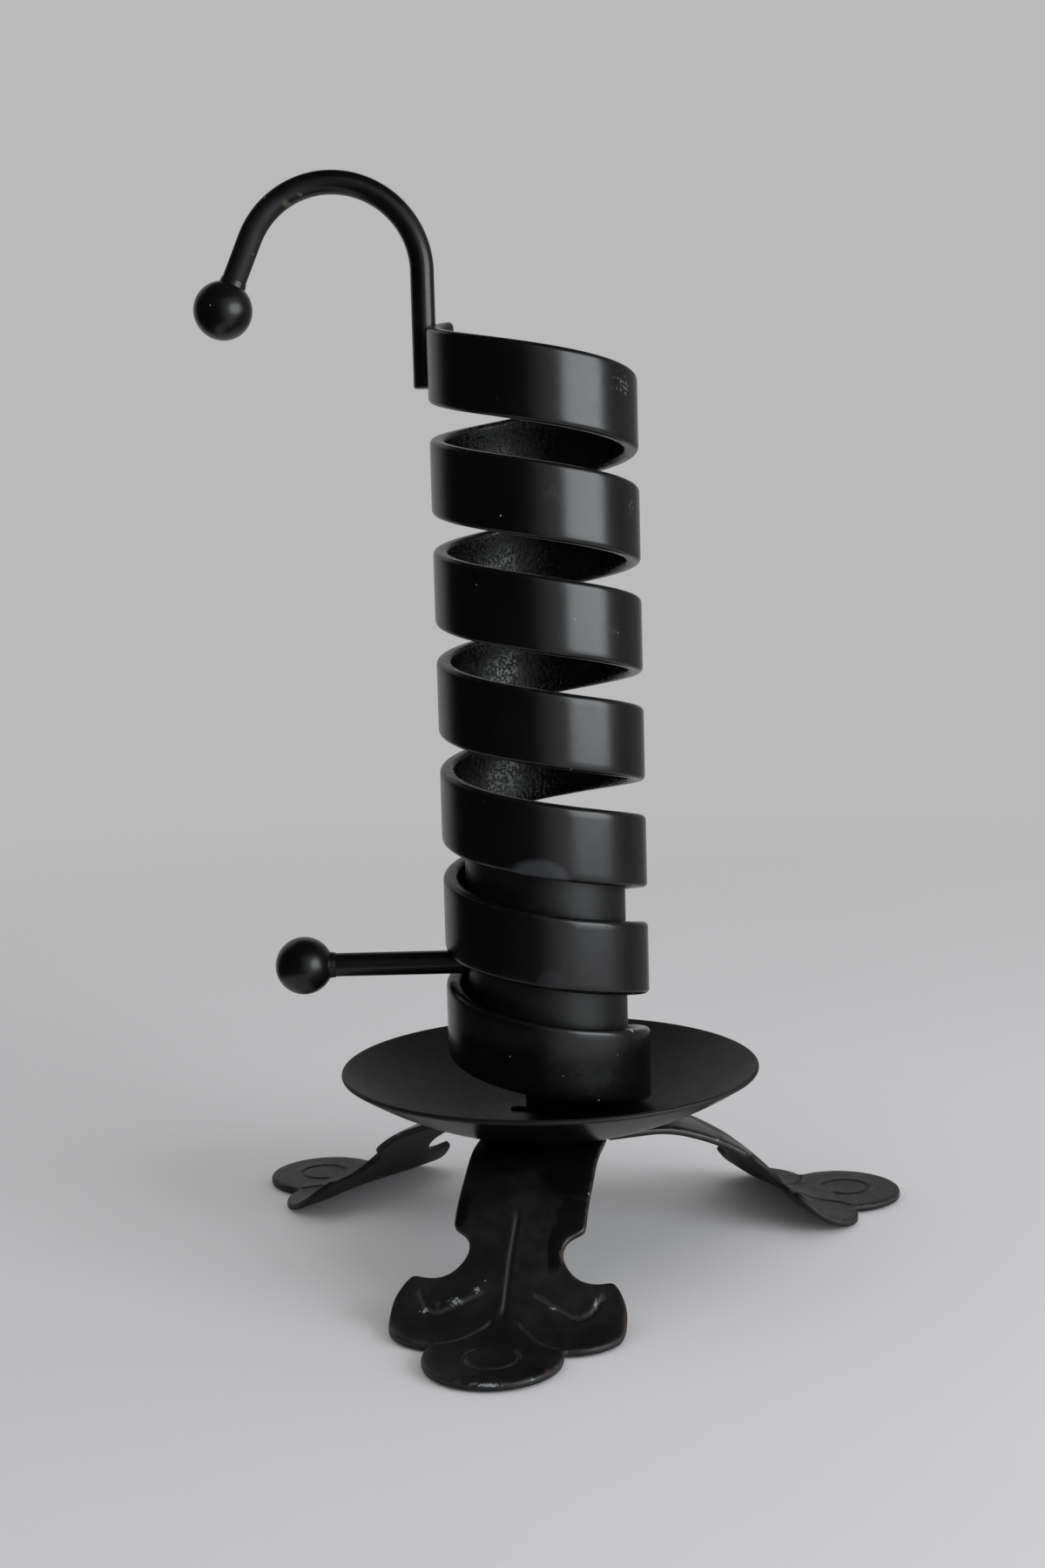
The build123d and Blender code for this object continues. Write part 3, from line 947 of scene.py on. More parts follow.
@dataclass
class Leg(SubAssembly):
    """One stamped leg: a strap that arches down to a foot of two side lobes and a toe.

    Places on the leg are given by the reach from the axis and the distance to one side.
    """

    node: str = "leg_front"
    azimuth: float = 260.2
    mirrored: bool = False
    break_reach: float = 29.3
    break_share: float = 0.76
    slope: float = 41.3
    sheet: float = 1.2
    height: float = 20.1
    knee: float = 17.6
    bend_radii: tuple[float, float, float] = (16.0, 12.0, 5.0)
    inner: float = 6.362
    half_strap: float = 10.5
    lobe: tuple[float, float, float] = (44.2, 9.8, 8.5)
    lobe_ends: tuple[float, float] = (106.0, 1.5)
    toe: tuple[float, float, float] = (55.85, 0.0, 10.5)
    toe_start: float = 107.4
    notch: tuple[tuple[float, float], ...] = (
        (32.65, 10.5), (33.3, 9.3), (34.1, 8.0), (35.0, 7.45), (35.8, 7.3), (37.0, 7.8), (38.25, 9.0),
        (38.9, 10.4), (39.25, 11.9), (39.3, 13.3), (39.15, 14.6), (38.95, 15.7), (40.1, 16.9),
    )
    stem: tuple[tuple[float, float], ...] = ((32.0, 0.4), (37, 0.6), (43.4, 0.55))
    curl: tuple[tuple[float, float], ...] = (
        (41.7, 4.4), (42.1, 5.5), (42.6, 6.9), (43.2, 8.7), (43.7, 10.2), (43.75, 11.4), (43.2, 12.8),
        (41.5, 14.1),
    )
    vein: tuple[tuple[float, float], ...] = (
        (45.6, 2.5), (47.2, 3.8), (49.4, 5.2), (50.9, 6.6), (51.9, 7.9), (52.6, 9.6),
    )
    ring_step: float = 0.9
    ring_radius: float = 4.1
    ring_half_turn: float = 132.0
    edge_round: float = 0.38
    lower_round: float = 0.3
    dome: float = 0.8
    dome_ends: tuple[float, float] = (12.0, 50.0)
    dome_ease: float = 10.0
    slope_step: float = 0.2
    groove_depth: float = 0.3
    groove_width: float = 0.62
    groove_lip: tuple[float, float, float] = (0.06, 0.62, 0.24)
    groove_stain: float = 0.4
    rubbed_width: float = 1.3
    grid: float = 1.1
    grid_reach: tuple[float, float] = (8.0, 68.0)
    grid_side: float = 19.0
    groove_clear: float = 1.4
    border_clear: float = 0.55
    closest: float = 0.12
    # Darker glossy patches: on the strap under the pan they are painted shade and painted reflection of the
    # pan's underside; on the shoulders they are paint variations
    gloss_and_shade: Spots = (
        (14, 0, 11.5, 30), (31.2, -8.4, 4.4, 3.4), (30.2, 10.0, 4.2, 2.4), (35.3, -6.2, 4.0, 1.5),
        (24, -7, 5, 6),
    )
    rust: Spots = (
        (49.9, 5.2, 1.5, 1.2), (53.4, -3.3, 1.6, 1.0), (43.5, -18.2, 3.5, 0.9), (36.2, -7.3, 2.0, 0.8),
        (42.8, 11.0, 1.2, 0.8), (60.5, -9.0, 2.5, 0.9),
    )
    chips: Spots = (
        (42.4, 8.3, 1.0, 2.6), (41.9, -13.3, 1.3, 0.9), (43.6, 13.0, 0.9, 1.4), (41.2, 5.2, 0.8, 1.4),
        (66.2, -2.2, 0.9, 5.5), (63.6, -7.9, 1.4, 1.9), (32.7, 10.4, 0.6, 0.6), (26.6, -10.4, 1.0, 0.5),
        (42.9, -7.0, 0.5, 1.2),
    )

    def profile(self) -> np.ndarray:
        """Draw the side line of the leg's top face, with rounded bends.

        Returns:
            Reach from the axis and height of each point.
        """
        drop = self.break_share * self.height
        toe_bend = self.break_reach + (drop - self.sheet) / math.tan(math.radians(self.slope))
        far = self.toe[0] + self.toe[2] + 2
        corners = [(0, self.height), (self.knee, self.height), (self.break_reach, drop)]
        corners = np.array(corners + [(toe_bend, self.sheet), (far, self.sheet)])
        line = [corners[:1]]
        share = np.linspace(0, 1, 24)[:, None]
        for number, radius in enumerate(self.bend_radii, start=1):
            corner = corners[number]
            before, after = corner - corners[number - 1], corners[number + 1] - corner
            before, after = before / np.linalg.norm(before), after / np.linalg.norm(after)
            turn = math.acos(float(np.clip(before @ after, -1, 1)))
            reach = radius * math.tan(turn / 2)
            start, end = corner - reach * before, corner + reach * after
            line.append((1 - share) ** 2 * start + 2 * share * (1 - share) * corner + share**2 * end)
        return np.concatenate(line + [corners[-1:]])

    def outline(self) -> np.ndarray:
        """Draw the outline of the leg in plan.

        Returns:
            An even closed loop with softened corners.
        """
        half = np.concatenate(
            [
                [(self.inner, 0), (self.inner, self.half_strap)],
                self.notch,
                arc(self.lobe[:2], self.lobe[2], *self.lobe_ends, 40),
                arc(self.toe[:2], self.toe[2], self.toe_start, 0, 40),
            ]
        )
        half = spread_along(half, 0.5)
        loop = np.concatenate([half, half[-2:0:-1] * (1, -1)])
        for _ in range(2):
            loop = loop / 2 + (np.roll(loop, 1, axis=0) + np.roll(loop, -1, axis=0)) / 4
        return loop

    def grooves(self) -> list[np.ndarray]:
        """Draw the lines pressed into the top of the foot.

        Returns:
            A stem, a ring, and on each side a curl and a vein.
        """
        middle = (self.toe[0] + self.ring_step, 0)
        ring = arc(middle, self.ring_radius, -self.ring_half_turn, self.ring_half_turn, 40)
        lines = [np.array(self.stem), ring]
        for side in (1, -1):
            lines += [np.array(line) * (1, side) for line in (self.curl, self.vein)]
        return [spread_along(line, 0.35) for line in lines]

    def inner_points(self, loop: np.ndarray, lines: list[np.ndarray]) -> np.ndarray:
        """Points inside the outline, close together along the grooves.

        Args:
            loop: border that the points stay inside of.
            lines: the grooves.

        Returns:
            The points.
        """
        shifts = [0.0] + [side * step for step in (0.13, 0.27, 0.45, 0.75, 1.15) for side in (1, -1)]
        spots = []
        for line in lines:
            ahead = np.gradient(line, axis=0)
            ahead /= np.linalg.norm(ahead, axis=1, keepdims=True)
            side = np.stack([-ahead[:, 1], ahead[:, 0]], axis=-1)
            spots += [line + shift * side for shift in shifts]
        sides = np.arange(-self.grid_side, self.grid_side, self.grid)
        reach, side = np.meshgrid(np.arange(*self.grid_reach, self.grid), sides)
        mesh = np.stack([reach.ravel(), side.ravel()], axis=-1)
        mesh = mesh[nearest(mesh, np.concatenate(lines)) > self.groove_clear]
        every = np.concatenate(spots + [mesh])
        every = every[inside(every, loop) & (nearest(every, loop) > self.border_clear)]
        kept: dict[tuple[int, int], int] = {}
        for number, (first, second) in enumerate(every):
            kept.setdefault((round(first / self.closest), round(second / self.closest)), number)
        return every[sorted(kept.values())]

    def fill(
        self, border: np.ndarray, lines: list[np.ndarray], first: int, fresh: int
    ) -> tuple[np.ndarray, list[tuple[int, ...]]]:
        """Fill a border with triangles that are small along the grooves.

        Args:
            border: closed loop round the face.
            lines: the grooves.
            first: number of the border's first point in the leg.
            fresh: number that the first added point gets.

        Returns:
            The added points and the triangles.
        """
        count = len(border)
        spots = [Vector(spot) for spot in np.concatenate([border, self.inner_points(border, lines)])]
        edges = [(place, (place + 1) % count) for place in range(count)]
        made, _, triangles, sources, _, _ = delaunay_2d_cdt(spots, edges, [], 1, 1e-6)
        numbers: list[int] = []
        added: list[Vector] = []
        for spot, source in zip(made, sources):
            known = min(source) if source else count
            if known < count:
                numbers.append(first + known)
            else:
                numbers.append(fresh + len(added))
                added.append(spot)
        return np.array(added), [tuple(numbers[corner] for corner in face) for face in triangles]

    def surface(self, flat: np.ndarray, depth: np.ndarray) -> np.ndarray:
        """Bend flat points down to the leg's arch.

        Args:
            flat: reach from the axis and side place of each point.
            depth: depth of each point under the top face.

        Returns:
            The points in space.
        """
        line = self.profile()
        reach, side = flat[:, 0], flat[:, 1]
        steps = (0, self.slope_step, -self.slope_step)
        at, ahead, behind = (np.interp(reach + step, line[:, 0], line[:, 1]) for step in steps)
        start, end = self.dome_ends
        share = np.clip(np.minimum((reach - start) / self.dome_ease, (end - reach) / self.dome_ease), 0, 1)
        across = np.clip(1 - (side / self.half_strap) ** 2, 0, 1)
        lean = np.arctan((ahead - behind) / (2 * self.slope_step))
        height = at + self.dome * across * smooth(share) - depth * np.cos(lean)
        reach = reach + depth * np.sin(lean)
        side = -side if self.mirrored else side
        angle = math.radians(self.azimuth)
        x = reach * math.cos(angle) + side * math.sin(angle)
        y = reach * math.sin(angle) - side * math.cos(angle)
        return np.stack([x, y, np.maximum(height, 0)], axis=-1)

    def rim(self, loop: np.ndarray) -> Skin:
        """Wrap a rounded edge round the outline.

        Args:
            loop: the leg's outline.

        Returns:
            Six rings of points, each with its flat place and its depth, and the faces between them.
        """
        ahead = np.roll(loop, -1, axis=0) - np.roll(loop, 1, axis=0)
        ahead /= np.linalg.norm(ahead, axis=1, keepdims=True)
        inwards = np.stack([-ahead[:, 1], ahead[:, 0]], axis=-1)
        if not inside(loop[:1] + 0.05 * inwards[:1], loop)[0]:
            inwards = -inwards
        edge, lower, sheet = self.edge_round, self.lower_round, self.sheet
        steps = [(edge, 0), (0.3 * edge, 0.3 * edge), (0, edge)]
        steps += [(0, sheet - lower), (0.3 * lower, sheet - 0.3 * lower), (lower, sheet)]
        rings = [
            np.column_stack([loop + inset * inwards, np.full(len(loop), depth)]) for inset, depth in steps
        ]
        skin = skin_rings(np.stack(rings))
        skin.faces = skin.faces[:-2]
        return skin

    def build(self) -> None:
        """Make the leg: two bent faces with pressed grooves, joined by a rounded edge."""
        loop, lines = self.outline(), self.grooves()
        groove, count = np.concatenate(lines), len(loop)
        lip_height, lip_place, lip_width = self.groove_lip
        rim = self.rim(loop)
        points, faces = rim.points, rim.faces
        for start, depth in ((0, 0.0), (len(points) - count, self.sheet)):
            border = rim.points[start : start + count, :2]
            added, triangles = self.fill(border, lines, start, len(points))
            pressed = np.full(len(added), depth)
            if start == 0:
                away = nearest(added, groove)
                pressed += self.groove_depth * np.exp(-((away / (self.groove_width / 2)) ** 2))
                pressed -= lip_height * np.exp(-(((away - lip_place) / lip_width) ** 2))
            points = np.concatenate([points, np.column_stack([added, pressed])])
            faces = faces + triangles
        flat, depth = points[:, :2], points[:, 2]
        above = (depth < self.sheet / 2) * 1.0
        skin = Skin(self.surface(flat, depth), faces)
        rubbed = np.zeros(len(points))
        rubbed[: 3 * count] = np.repeat((0.8, 0.95, 0.6), count)
        close = np.clip(1 - nearest(flat, loop) / self.rubbed_width, 0, 1) * above
        skin.values["edge"] = np.maximum(rubbed, close * 0.7)
        # Painted shade: marks the underside, which the paint darkens
        skin.values["under"] = 1 - above
        skin.values["groove"] = np.exp(-((nearest(flat, groove) / self.groove_stain) ** 2)) * above
        # The darker glossy patches: painted shade and painted reflection on the strap under the pan, paint
        # variations elsewhere
        for name, listed in (("gloss_and_shade", self.gloss_and_shade), ("rust", self.rust), ("chip", self.chips)):
            skin.values[name] = (blobs(flat, listed) + 1) * above - 1
        skin.values["grain"] = np.zeros(len(points))
        self.place(self.node, skin, Body.STAND)

    def dress(self, leg: bpy.types.Material) -> None:
        """Paint the leg."""
        self.coat(leg, Slot.LEG, self.node)


def unmarked(skin: Skin) -> Skin:
    """Give a rod or a ball the point values of paint without marks.

    Args:
        skin: skin of the rod or the ball.

    Returns:
        The same skin.
    """
    for name, value in (("edge", 0.0), ("grain", 0.0), ("scuff", -1.0), ("dull", -1.0)):
        skin.values[name] = np.full(len(skin.points), value)
    return skin


@dataclass(frozen=True)
class Knob:
    """A turned ball with a hollowed neck that runs into its rod."""

    radius: float = 4.9
    rod_radius: float = 2.0
    neck: float = 0.45
    neck_angle: float = 27.5
    neck_wall: float = 0.12
    neck_bend: tuple[float, float] = (0.2, 0.35)
    segments: int = 72

    def profile(self) -> np.ndarray:
        """Draw the knob's side line.

        Returns:
            Radius and height, from the ball's far end up to the rod, with the ball's middle at 0.
        """
        angles = np.radians(np.linspace(179.6, self.neck_angle, 60))
        ball = np.stack([self.radius * np.sin(angles), self.radius * np.cos(angles)], axis=-1)
        foot, end = ball[-1], self.radius + self.neck
        top = np.array([self.rod_radius + self.neck_wall, end])
        bend = np.array([self.rod_radius + self.neck_bend[0], foot[1] + self.neck_bend[1]])
        share = np.linspace(0, 1, 14)[1:, None]
        hollow = (1 - share) ** 2 * foot + 2 * share * (1 - share) * bend + share**2 * top
        return np.concatenate([ball, hollow, [(self.rod_radius - 0.3, end + self.neck_wall)]])

    def skin(self, middle: Vector, towards_rod: Vector) -> Skin:
        """Turn the ball.

        Args:
            middle: the ball's middle.
            towards_rod: direction from the ball to its rod.

        Returns:
            The ball's skin.
        """
        turn = towards_rod.to_track_quat("Z", "Y").to_matrix().to_4x4()
        ball = unmarked(turned(self.profile(), self.segments, False)[0])
        return ball.moved(Matrix.Translation(middle) @ turn)


@dataclass
class CarryHook(SubAssembly):
    """The bent rod at the top of the spiral, its ball and its two welds.

    Marks on the rod are given by their place to the right of the axis and their height.
    """

    knob: Knob = Knob()
    stem_radius: float = 19.3
    azimuth: float = 158.9
    direction: float = 184.2
    foot: float = 145.39
    stem: float = 19.3
    bend_radius: float = 14.8
    bend_angle: float = 157.0
    tip: float = 12.58
    weld_reach: float = 17.7
    weld_offset: float = 1.45
    weld_radius: float = 1.0
    weld_length: float = 7.0
    weld_middle: float = 149.79
    scuffs: Spots = ((-39.9, 175.9, 1.3, 0.9), (-37.6, 177.3, 0.9, 0.6))
    dulled: Spots = ((-47, 168, 12, 16),)

    def line(self) -> np.ndarray:
        """Draw the rod's middle line.

        Returns:
            Its points, from the foot to the ball's middle.
        """
        top = self.foot + self.stem
        bend = arc((self.bend_radius, top), self.bend_radius, 180, 180 - self.bend_angle, 70)
        turn = math.radians(self.bend_angle)
        ahead = np.array([math.sin(turn), math.cos(turn)])
        tip = bend[-1] + np.linspace(0, self.tip, 16)[1:, None] * ahead
        stem = np.stack([np.zeros(24), np.linspace(self.foot, top, 25)[:-1]], axis=-1)
        ends = np.array([[0, self.foot + 0.12], [0, self.foot + 0.4]])
        flat = np.concatenate([stem[:1], ends, stem[1:], bend, tip])
        angle, way = math.radians(self.azimuth), math.radians(self.direction)
        x = self.stem_radius * math.cos(angle) + flat[:, 0] * math.cos(way)
        y = self.stem_radius * math.sin(angle) + flat[:, 0] * math.sin(way)
        return np.stack([x, y, flat[:, 1]], axis=-1)

    def rod_skin(self, line: np.ndarray) -> Skin:
        """Draw the rod with a worn foot and its marks.

        Args:
            line: the rod's middle line.

        Returns:
            The rod's skin.
        """
        way = math.radians(self.direction)
        radii = np.full(len(line), self.knob.rod_radius)
        radii[:2] -= 0.35, 0.1
        rod = unmarked(tube(line, radii, Vector((-math.sin(way), math.cos(way), 0)), ROD_SEGMENTS))
        share = np.repeat(np.linspace(0, 1, len(line)), ROD_SEGMENTS)
        places = np.stack([rod.points[:, 0], rod.points[:, 2]], axis=-1)
        rod.values["edge"] = np.clip(1 - share * len(line) / 3, 0, 1)
        rod.values["scuff"] = blobs(places, self.scuffs)
        rod.values["dull"] = blobs(places, self.dulled)
        return rod

    def build(self) -> None:
        """Make the rod, the ball and the welds."""
        line = self.line()
        self.place("hook_rod", self.rod_skin(line), Body.STAND)
        ball = self.knob.skin(Vector(line[-1]), Vector(line[-2] - line[-1]))
        self.place("hook_ball", ball, Body.STAND)
        angle, reach = math.radians(self.azimuth), self.weld_reach
        height = np.linspace(-self.weld_length / 2, self.weld_length / 2, 60) + self.weld_middle
        for node, side in (("hook_weld_front", 1), ("hook_weld_back", -1)):
            x = reach * math.cos(angle) - side * self.weld_offset * math.sin(angle)
            y = reach * math.sin(angle) + side * self.weld_offset * math.cos(angle)
            upright = np.column_stack([np.full(60, x), np.full(60, y), height])
            self.place(node, bead(upright, self.weld_radius, 11 + side), Body.STAND)

    def dress(self, rod: bpy.types.Material, weld: bpy.types.Material) -> None:
        """Paint the rod, the ball and the welds."""
        self.coat(rod, Slot.ROD, "hook_rod", "hook_ball")
        self.coat(weld, Slot.WELD, "hook_weld_front", "hook_weld_back")


@dataclass
class CandleLifter(SubAssembly):
    """The candle cup, its loose floor disc, and the lever with its ball."""

    knob: Knob = Knob()
    radius: float = 13.5
    wall: float = 1.2
    bottom: float = 35.611
    height: float = 37.0
    lip: float = 2.6
    foot_step: float = 0.4
    floor_thickness: float = 1.2
    floor_gap: float = 0.05
    floor_edge: float = 0.25
    floor_play: float = 0.15
    rim_round: float = 0.5
    lever_height: float = 48.623
    lever_reach: float = 41.4

    @property
    def bore(self) -> float:
        """Radius of the cup's inside."""
        return self.radius - self.wall

    @property
    def seat(self) -> float:
        """Height of the face that the floor disc lies on."""
        return self.bottom + self.wall

    def cup_skin(self) -> Skin:
        """Turn the cup: an inturned lip, the wall, a rounded rim and a step round the disc.

        Returns:
            The cup's skin, rubbed at the rim and rough inside.
        """
        bore, seat, edge = self.bore, self.seat, self.rim_round
        foot, hole, top = bore - self.foot_step, bore - self.lip, self.bottom + self.height
        step = seat + self.floor_gap + self.floor_thickness + 0.1
        rows = [(hole, self.bottom + 0.3), (hole + 0.3, self.bottom)]
        rows += [(r, self.bottom) for r in np.linspace(hole + 0.8, self.radius - 0.8, 4)]
        rows += arc((self.radius - edge, self.bottom + edge), edge, -90, 0, 6).tolist()
        rows += [(self.radius, z) for z in np.linspace(self.bottom + 1.2, top - 1.2, 30)]
        rim = len(rows)
        rows += arc((self.radius - edge, top - edge), edge, 0, 90, 6).tolist()
        rows += arc((bore + edge, top - edge), edge, 90, 180, 6).tolist()
        inner = len(rows)
        rows += [(bore, z) for z in np.linspace(top - 1.2, step + 0.2, 30)]
        rows += [(bore - 0.02, step), (foot + 0.05, step), (foot, step - 0.1), (foot, seat + 0.05)]
        rows += [(foot - 0.1, seat), (hole + 0.2, seat), (hole, seat - 0.2)]
        cup, row = turned(np.array(rows), 192, True)
        cup.values["edge"] = np.where((row >= rim) & (row < inner), 0.9, 0.0)
        cup.values["grain"] = np.where(row >= inner, 1.0, 0.0)
        return cup

    def disc_skin(self) -> Skin:
        """Turn the floor disc.

        Returns:
            The disc's skin, with broken edges.
        """
        under, edge = self.seat + self.floor_gap, self.floor_edge
        top, reach = under + self.floor_thickness, self.bore - self.foot_step - self.floor_play
        rows = [(0.02, under), (reach - 0.6, under), (reach - edge, under), (reach, under + edge)]
        rows += [(reach, top - edge), (reach - edge, top)]
        rows += [(r, top) for r in np.linspace(reach - 0.8, 1, 14)] + [(0.02, top)]
        disc, row = turned(np.array(rows), 144, True)
        disc.values["edge"] = np.where((row >= 2) & (row <= 5), 0.8, 0.0)
        disc.values["grain"] = np.full(len(row), 0.6)
        return disc

    def build(self) -> None:
        """Make the cup, the disc, the lever and its ball."""
        self.place("cup_tube", self.cup_skin(), Body.LIFTER)
        self.place("cup_floor", self.disc_skin(), Body.SEAT)
        inner = self.bore + np.array([0.05, 0.2])
        reach = np.concatenate([inner, np.linspace(self.bore + 0.6, self.lever_reach, 50)])
        line = np.column_stack([-reach, 0 * reach, np.full(len(reach), self.lever_height)])
        radii = np.full(len(reach), self.knob.rod_radius)
        radii[0] -= 0.15
        rod = unmarked(tube(line, radii, Vector((0, 1, 0)), ROD_SEGMENTS))
        self.place("lever_rod", rod, Body.LIFTER)
        ball = self.knob.skin(Vector(line[-1]), Vector((1, 0, 0)))
        self.place("lever_ball", ball, Body.LIFTER)

    def dress(self, cup: bpy.types.Material, rod: bpy.types.Material) -> None:
        """Paint the cup, the disc, the lever and its ball."""
        self.coat(cup, Slot.CUP, "cup_tube", "cup_floor")
        self.coat(rod, Slot.ROD, "lever_rod", "lever_ball")


@dataclass
class Studio:
    """Floor, window, dark cards, backdrop and camera.

    Attributes:
        axis: foot of the spiral's axis in the frame, in metres.
        camera_back: distance of the camera in front of the axis, in millimetres.
        camera_height: height of the camera, in millimetres.
        pitch: angle of the camera below the horizon, in degrees.
        yaw: angle of the camera to the right, in degrees.
        roll: turn of the picture, in degrees.
        focal_pixels: focal length in pixels of a picture 1800 pixels high.
        floor_colours: sRGB hex colours that the floor varies between.
        floor_radius: radius of the floor, in metres.
        floor_drop: depth of the floor under the feet, in metres.
        floor_fade: distances from the axis over which the floor fades out, in metres.
        backdrop_colour: sRGB hex colour of the world.
        card_colour: sRGB hex colour of a card at its darkest.
        card_reach: distance of the cards from the axis, in metres.
        card_height: height of the cards, in metres.
        card_foot: distance from the axis at which a card's foot starts, in metres.
        card_lift: height of a card's foot, in metres.
        card_fade: angle over which a card fades to the backdrop at both ends, in degrees.
        left_card: angles of the left card's ends to the left of the camera, in degrees.
        right_card: the same for the right card.
        right_depth: how dark the right card is.
        window_place: place of the window from the axis, in metres.
        window_aim: place that it points to, in metres.
        window_size: its width and height, in metres.
        window_power: its power, in watts.
        window_colour: sRGB hex colour of its light.
    """

    axis: Vector
    camera_back: float = 342.9
    camera_height: float = 118.03
    pitch: float = 6.526
    yaw: float = -0.571
    roll: float = -1.537
    focal_pixels: float = 2350.0
    floor_colours: tuple[str, str] = ("#e9e8e9", "#efeeef")
    floor_radius: float = 1.6
    floor_drop: float = 0.0003
    floor_fade: tuple[float, float] = (0.16, 0.62)
    backdrop_colour: str = "#bbbabb"
    card_colour: str = "#1a1a1b"
    card_reach: float = 0.8
    card_height: float = 0.9
    card_foot: float = 0.12
    card_lift: float = 0.002
    card_fade: float = 24.0
    left_card: tuple[float, float] = (-14.0, 134.0)
    right_card: tuple[float, float] = (-168.0, -77.0)
    right_depth: float = 0.62
    window_place: tuple[float, float, float] = (0.494, -0.34, 0.195)
    window_aim: tuple[float, float, float] = (0, 0, 0.195)
    window_size: tuple[float, float] = (0.51, 0.37)
    window_power: float = 2.95
    window_colour: str = "#f6fcff"

    def build(self) -> None:
        """Make the floor, the backdrop, the dark cards, the window and the camera."""
        self.lay_floor()
        self.hang_backdrop()
        self.stand_cards()
        self.hang_window()
        self.set_camera()

    def lay_floor(self) -> None:
        """Make a round pale floor that fades into the backdrop."""
        rings, spokes = 40, 96
        reach = np.linspace(0.001, self.floor_radius, rings)[:, None]
        angles = np.linspace(0, 2 * math.pi, spokes, endpoint=False)
        level = np.full((rings, spokes), -self.floor_drop)
        grid = [reach * np.cos(angles), reach * np.sin(angles), level]
        skin = skin_rings(np.stack(grid, axis=-1) / MM)
        skin.faces.pop()
        floor = skin.to_object("floor", self.axis)
        # Matt card: an even pale ground that takes a soft shadow
        material = bpy.data.materials.new("matt_card_pale_grey")
        add = partial(add_node, empty_tree(material))
        where = add("ShaderNodeTexCoord").outputs["Object"]
        clouds = {"Scale": 9.0, "Detail": 3.0, "Roughness": 0.5}
        tint = add("ShaderNodeTexNoise", {"Vector": where, **clouds}).outputs[0]
        tones = dict(zip((6, 7), map(linear, self.floor_colours)))
        colour = add("ShaderNodeMix", {0: tint, **tones}, data_type="RGBA").outputs[2]
        matt = add("ShaderNodeBsdfDiffuse", {"Color": colour}).outputs[0]
        clear = add("ShaderNodeBsdfTransparent").outputs[0]
        far = add("ShaderNodeVectorMath", {0: where}, operation="LENGTH").outputs["Value"]
        span = dict(zip(("From Min", "From Max"), self.floor_fade))
        fade = add("ShaderNodeMapRange", {"Value": far, **span}, interpolation_type="SMOOTHSTEP")
        mix = add("ShaderNodeMixShader", {0: fade.outputs[0], 1: matt, 2: clear})
        add("ShaderNodeOutputMaterial", {"Surface": mix.outputs[0]})
        floor.data.materials.append(material)

    def hang_backdrop(self) -> None:
        """Make the world an even pale backdrop that lights the holder softly from all round."""
        world = bpy.data.worlds.new("studio")
        bpy.context.scene.world = world
        add = partial(add_node, empty_tree(world))
        pale = add("ShaderNodeBackground", {"Color": linear(self.backdrop_colour), "Strength": 1.0})
        add("ShaderNodeOutputWorld", {"Surface": pale.outputs[0]})

    def stand_cards(self) -> None:
        """Stand dim cards on both sides and overhead, which only the sheen of the paint mirrors."""
        # Black card that fades to the backdrop: the soft dark bands in the sheen of the strip
        material = bpy.data.materials.new("matt_card_black")
        add = partial(add_node, empty_tree(material))
        shade = add("ShaderNodeAttribute", attribute_name="shade").outputs["Fac"]
        tones = {6: linear(self.backdrop_colour), 7: linear(self.card_colour)}
        tone = add("ShaderNodeMix", {0: shade, **tones}, data_type="RGBA").outputs[2]
        glow = add("ShaderNodeEmission", {"Color": tone, "Strength": 1.0})
        add("ShaderNodeOutputMaterial", {"Surface": glow.outputs[0]})
        angles = np.linspace(0, 2 * math.pi, 48, endpoint=False)
        cover = np.stack([np.cos(angles), np.sin(angles), np.ones(48)], axis=-1)
        cover *= (self.card_reach, self.card_reach, self.card_height)
        cards = {
            "flag_left": self.curved_card(self.left_card, 1.0),
            "flag_right": self.curved_card(self.right_card, self.right_depth),
            "flag_over": Skin(cover / MM, [tuple(range(48))], {"shade": np.ones(48)}),
        }
        for name, skin in cards.items():
            thing = skin.to_object(name, self.axis)
            thing.data.materials.append(material)
            thing.visible_camera = thing.visible_diffuse = thing.visible_shadow = False

    def curved_card(self, ends: tuple[float, float], depth: float) -> Skin:
        """Curve a card round the holder, with a foot on the floor.

        Args:
            ends: angles of its ends to the left of the camera, in degrees.
            depth: how dark its middle is; it fades to the backdrop at both ends.

        Returns:
            The card's skin, with the value "shade".
        """
        steps = 80
        turn = np.linspace(*ends, steps)
        angles = np.radians(turn)
        way = np.stack([-np.sin(angles), -np.cos(angles)], axis=-1)
        edges = [(self.card_foot, self.card_lift), (self.card_reach, self.card_lift)]
        edges.append((self.card_reach, self.card_height))
        rows = [np.column_stack([way * reach, np.full(steps, height)]) for reach, height in edges]
        starts = [steps * row + place for row in (0, 1) for place in range(steps - 1)]
        faces = [(place, place + 1, place + steps + 1, place + steps) for place in starts]
        share = np.clip(np.minimum(turn - ends[0], ends[1] - turn) / self.card_fade, 0, 1)
        return Skin(np.concatenate(rows) / MM, faces, {"shade": np.tile(depth * smooth(share), 3)})

    def hang_window(self) -> None:
        """Hang one broad soft lamp at the right, like a window."""
        data = bpy.data.lights.new("window", "AREA")
        data.shape = "RECTANGLE"
        data.size, data.size_y = self.window_size
        data.energy = self.window_power
        data.color = linear(self.window_colour)[:3]
        thing = bpy.data.objects.new("window", data)
        place, aim = Vector(self.window_place) + self.axis, Vector(self.window_aim) + self.axis
        turn = (aim - place).to_track_quat("-Z", "Y").to_matrix().to_4x4()
        thing.matrix_world = Matrix.Translation(place) @ turn
        bpy.context.scene.collection.objects.link(thing)

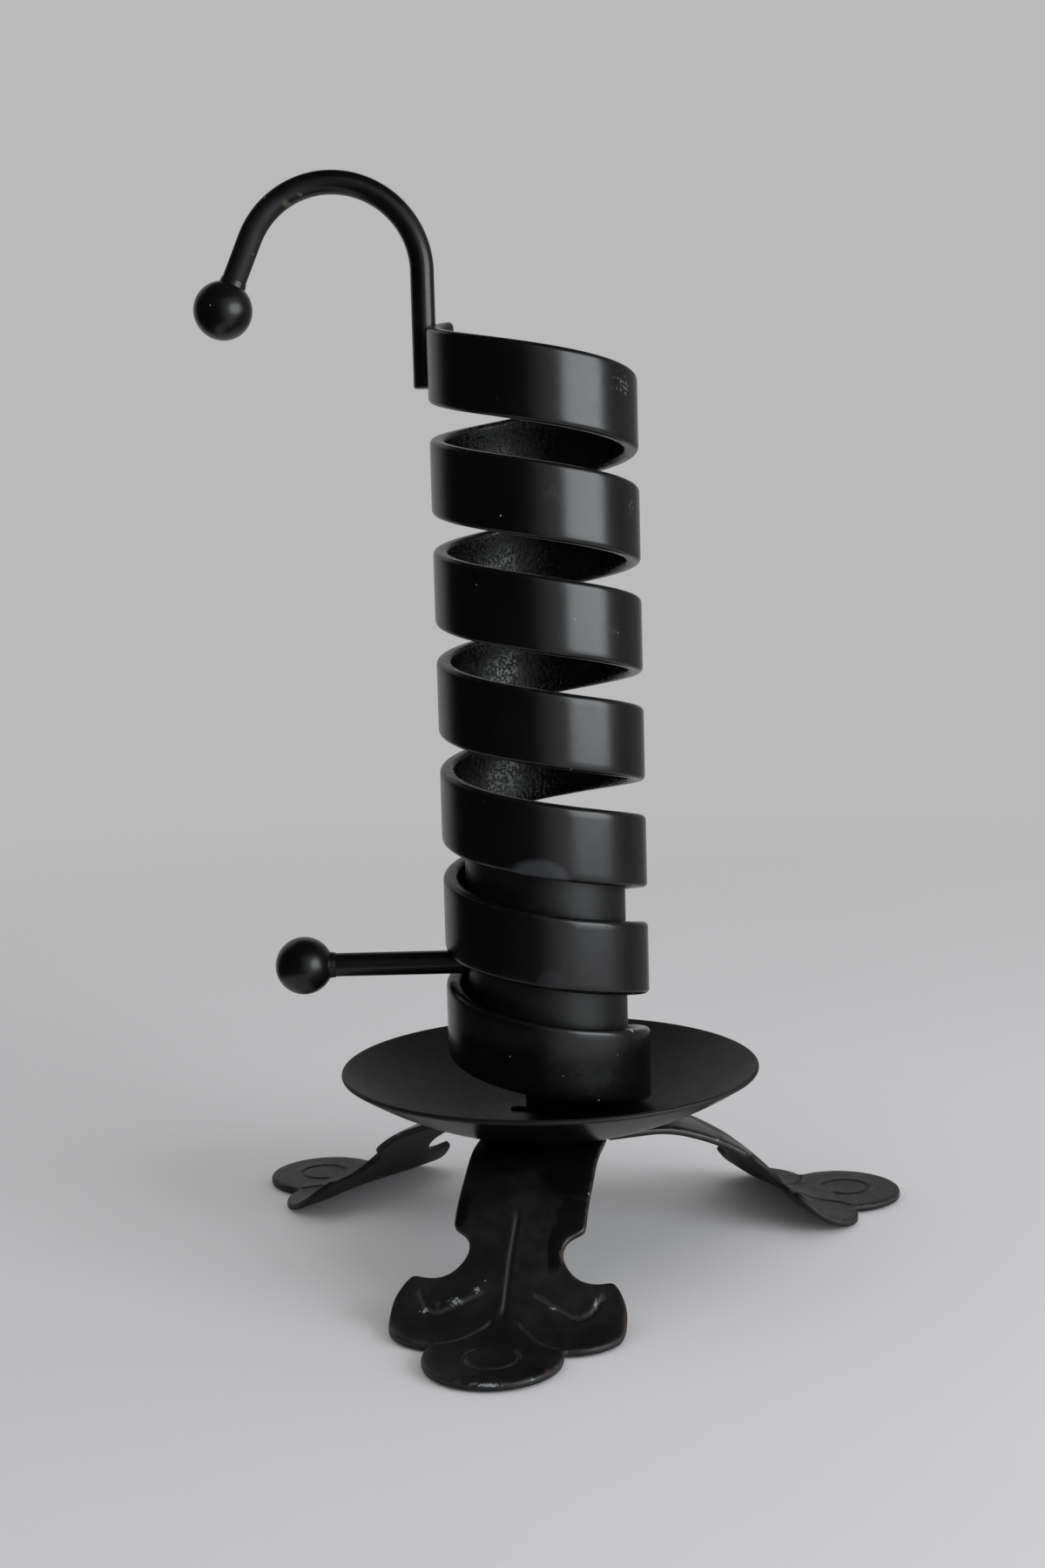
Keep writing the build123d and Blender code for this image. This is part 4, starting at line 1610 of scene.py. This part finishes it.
    def set_camera(self) -> None:
        """Set the camera at the viewing angle of the photograph."""
        pitch, yaw, roll = (math.radians(v) for v in (self.pitch, self.yaw, self.roll))
        level_way = Vector((math.sin(yaw), math.cos(yaw), 0)) * math.cos(pitch)
        ahead = level_way - Vector((0, 0, math.sin(pitch)))
        level = ahead.cross(Vector((0, 0, 1))).normalized()
        upright = level.cross(ahead)
        right = math.cos(roll) * level + math.sin(roll) * upright
        up = math.cos(roll) * upright - math.sin(roll) * level
        data = bpy.data.cameras.new("camera")
        data.sensor_fit = "VERTICAL"
        data.sensor_height = 36.0
        data.lens = data.sensor_height * self.focal_pixels / 1800
        data.clip_start = 0.01
        camera = bpy.data.objects.new("camera", data)
        turn = Matrix((right, up, -ahead)).transposed().to_4x4()
        place = self.axis + Vector((0, -self.camera_back * MM, self.camera_height * MM))
        camera.matrix_world = Matrix.Translation(place) @ turn
        bpy.context.scene.collection.objects.link(camera)
        bpy.context.scene.camera = camera


def main() -> None:
    """Build and dress the holder, then the studio."""
    logging.basicConfig(level=logging.INFO, format="%(message)s")
    low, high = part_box("drip_pan")
    axis = Vector(((low.x + high.x) / 2, (low.y + high.y) / 2, 0))
    finishes = (STRIP_PAINT, PAN_PAINT, LEG_PAINT, CUP_PAINT, ROD_PAINT, WELD_PAINT)
    strip, sheet, leg_paint, tube_paint, rod, weld = (finish.make() for finish in finishes)
    spiral = Spiral(axis)
    spiral.build()
    spiral.dress(strip, weld)
    pan = DripPan(axis)
    pan.build()
    pan.dress(sheet)
    right_bends = {"break_reach": 32.1, "break_share": 0.742, "slope": 47.5, "bend_radii": (24.0, 38.0, 14.0)}
    legs = (
        Leg(axis),
        Leg(axis, node="leg_right", azimuth=20.2, mirrored=True, dome=1.25, **right_bends),
        Leg(axis, node="leg_left", azimuth=140.2, bend_radii=(20.0, 28.0, 12.0)),
    )
    for leg in legs:
        leg.build()
        leg.dress(leg_paint)
    hook = CarryHook(axis)
    hook.build()
    hook.dress(rod, weld)
    lifter = CandleLifter(axis)
    lifter.build()
    lifter.dress(tube_paint, rod)
    Studio(axis).build()
    bpy.context.scene.view_settings.view_transform = "Standard"


if __name__ == "__main__":
    main()
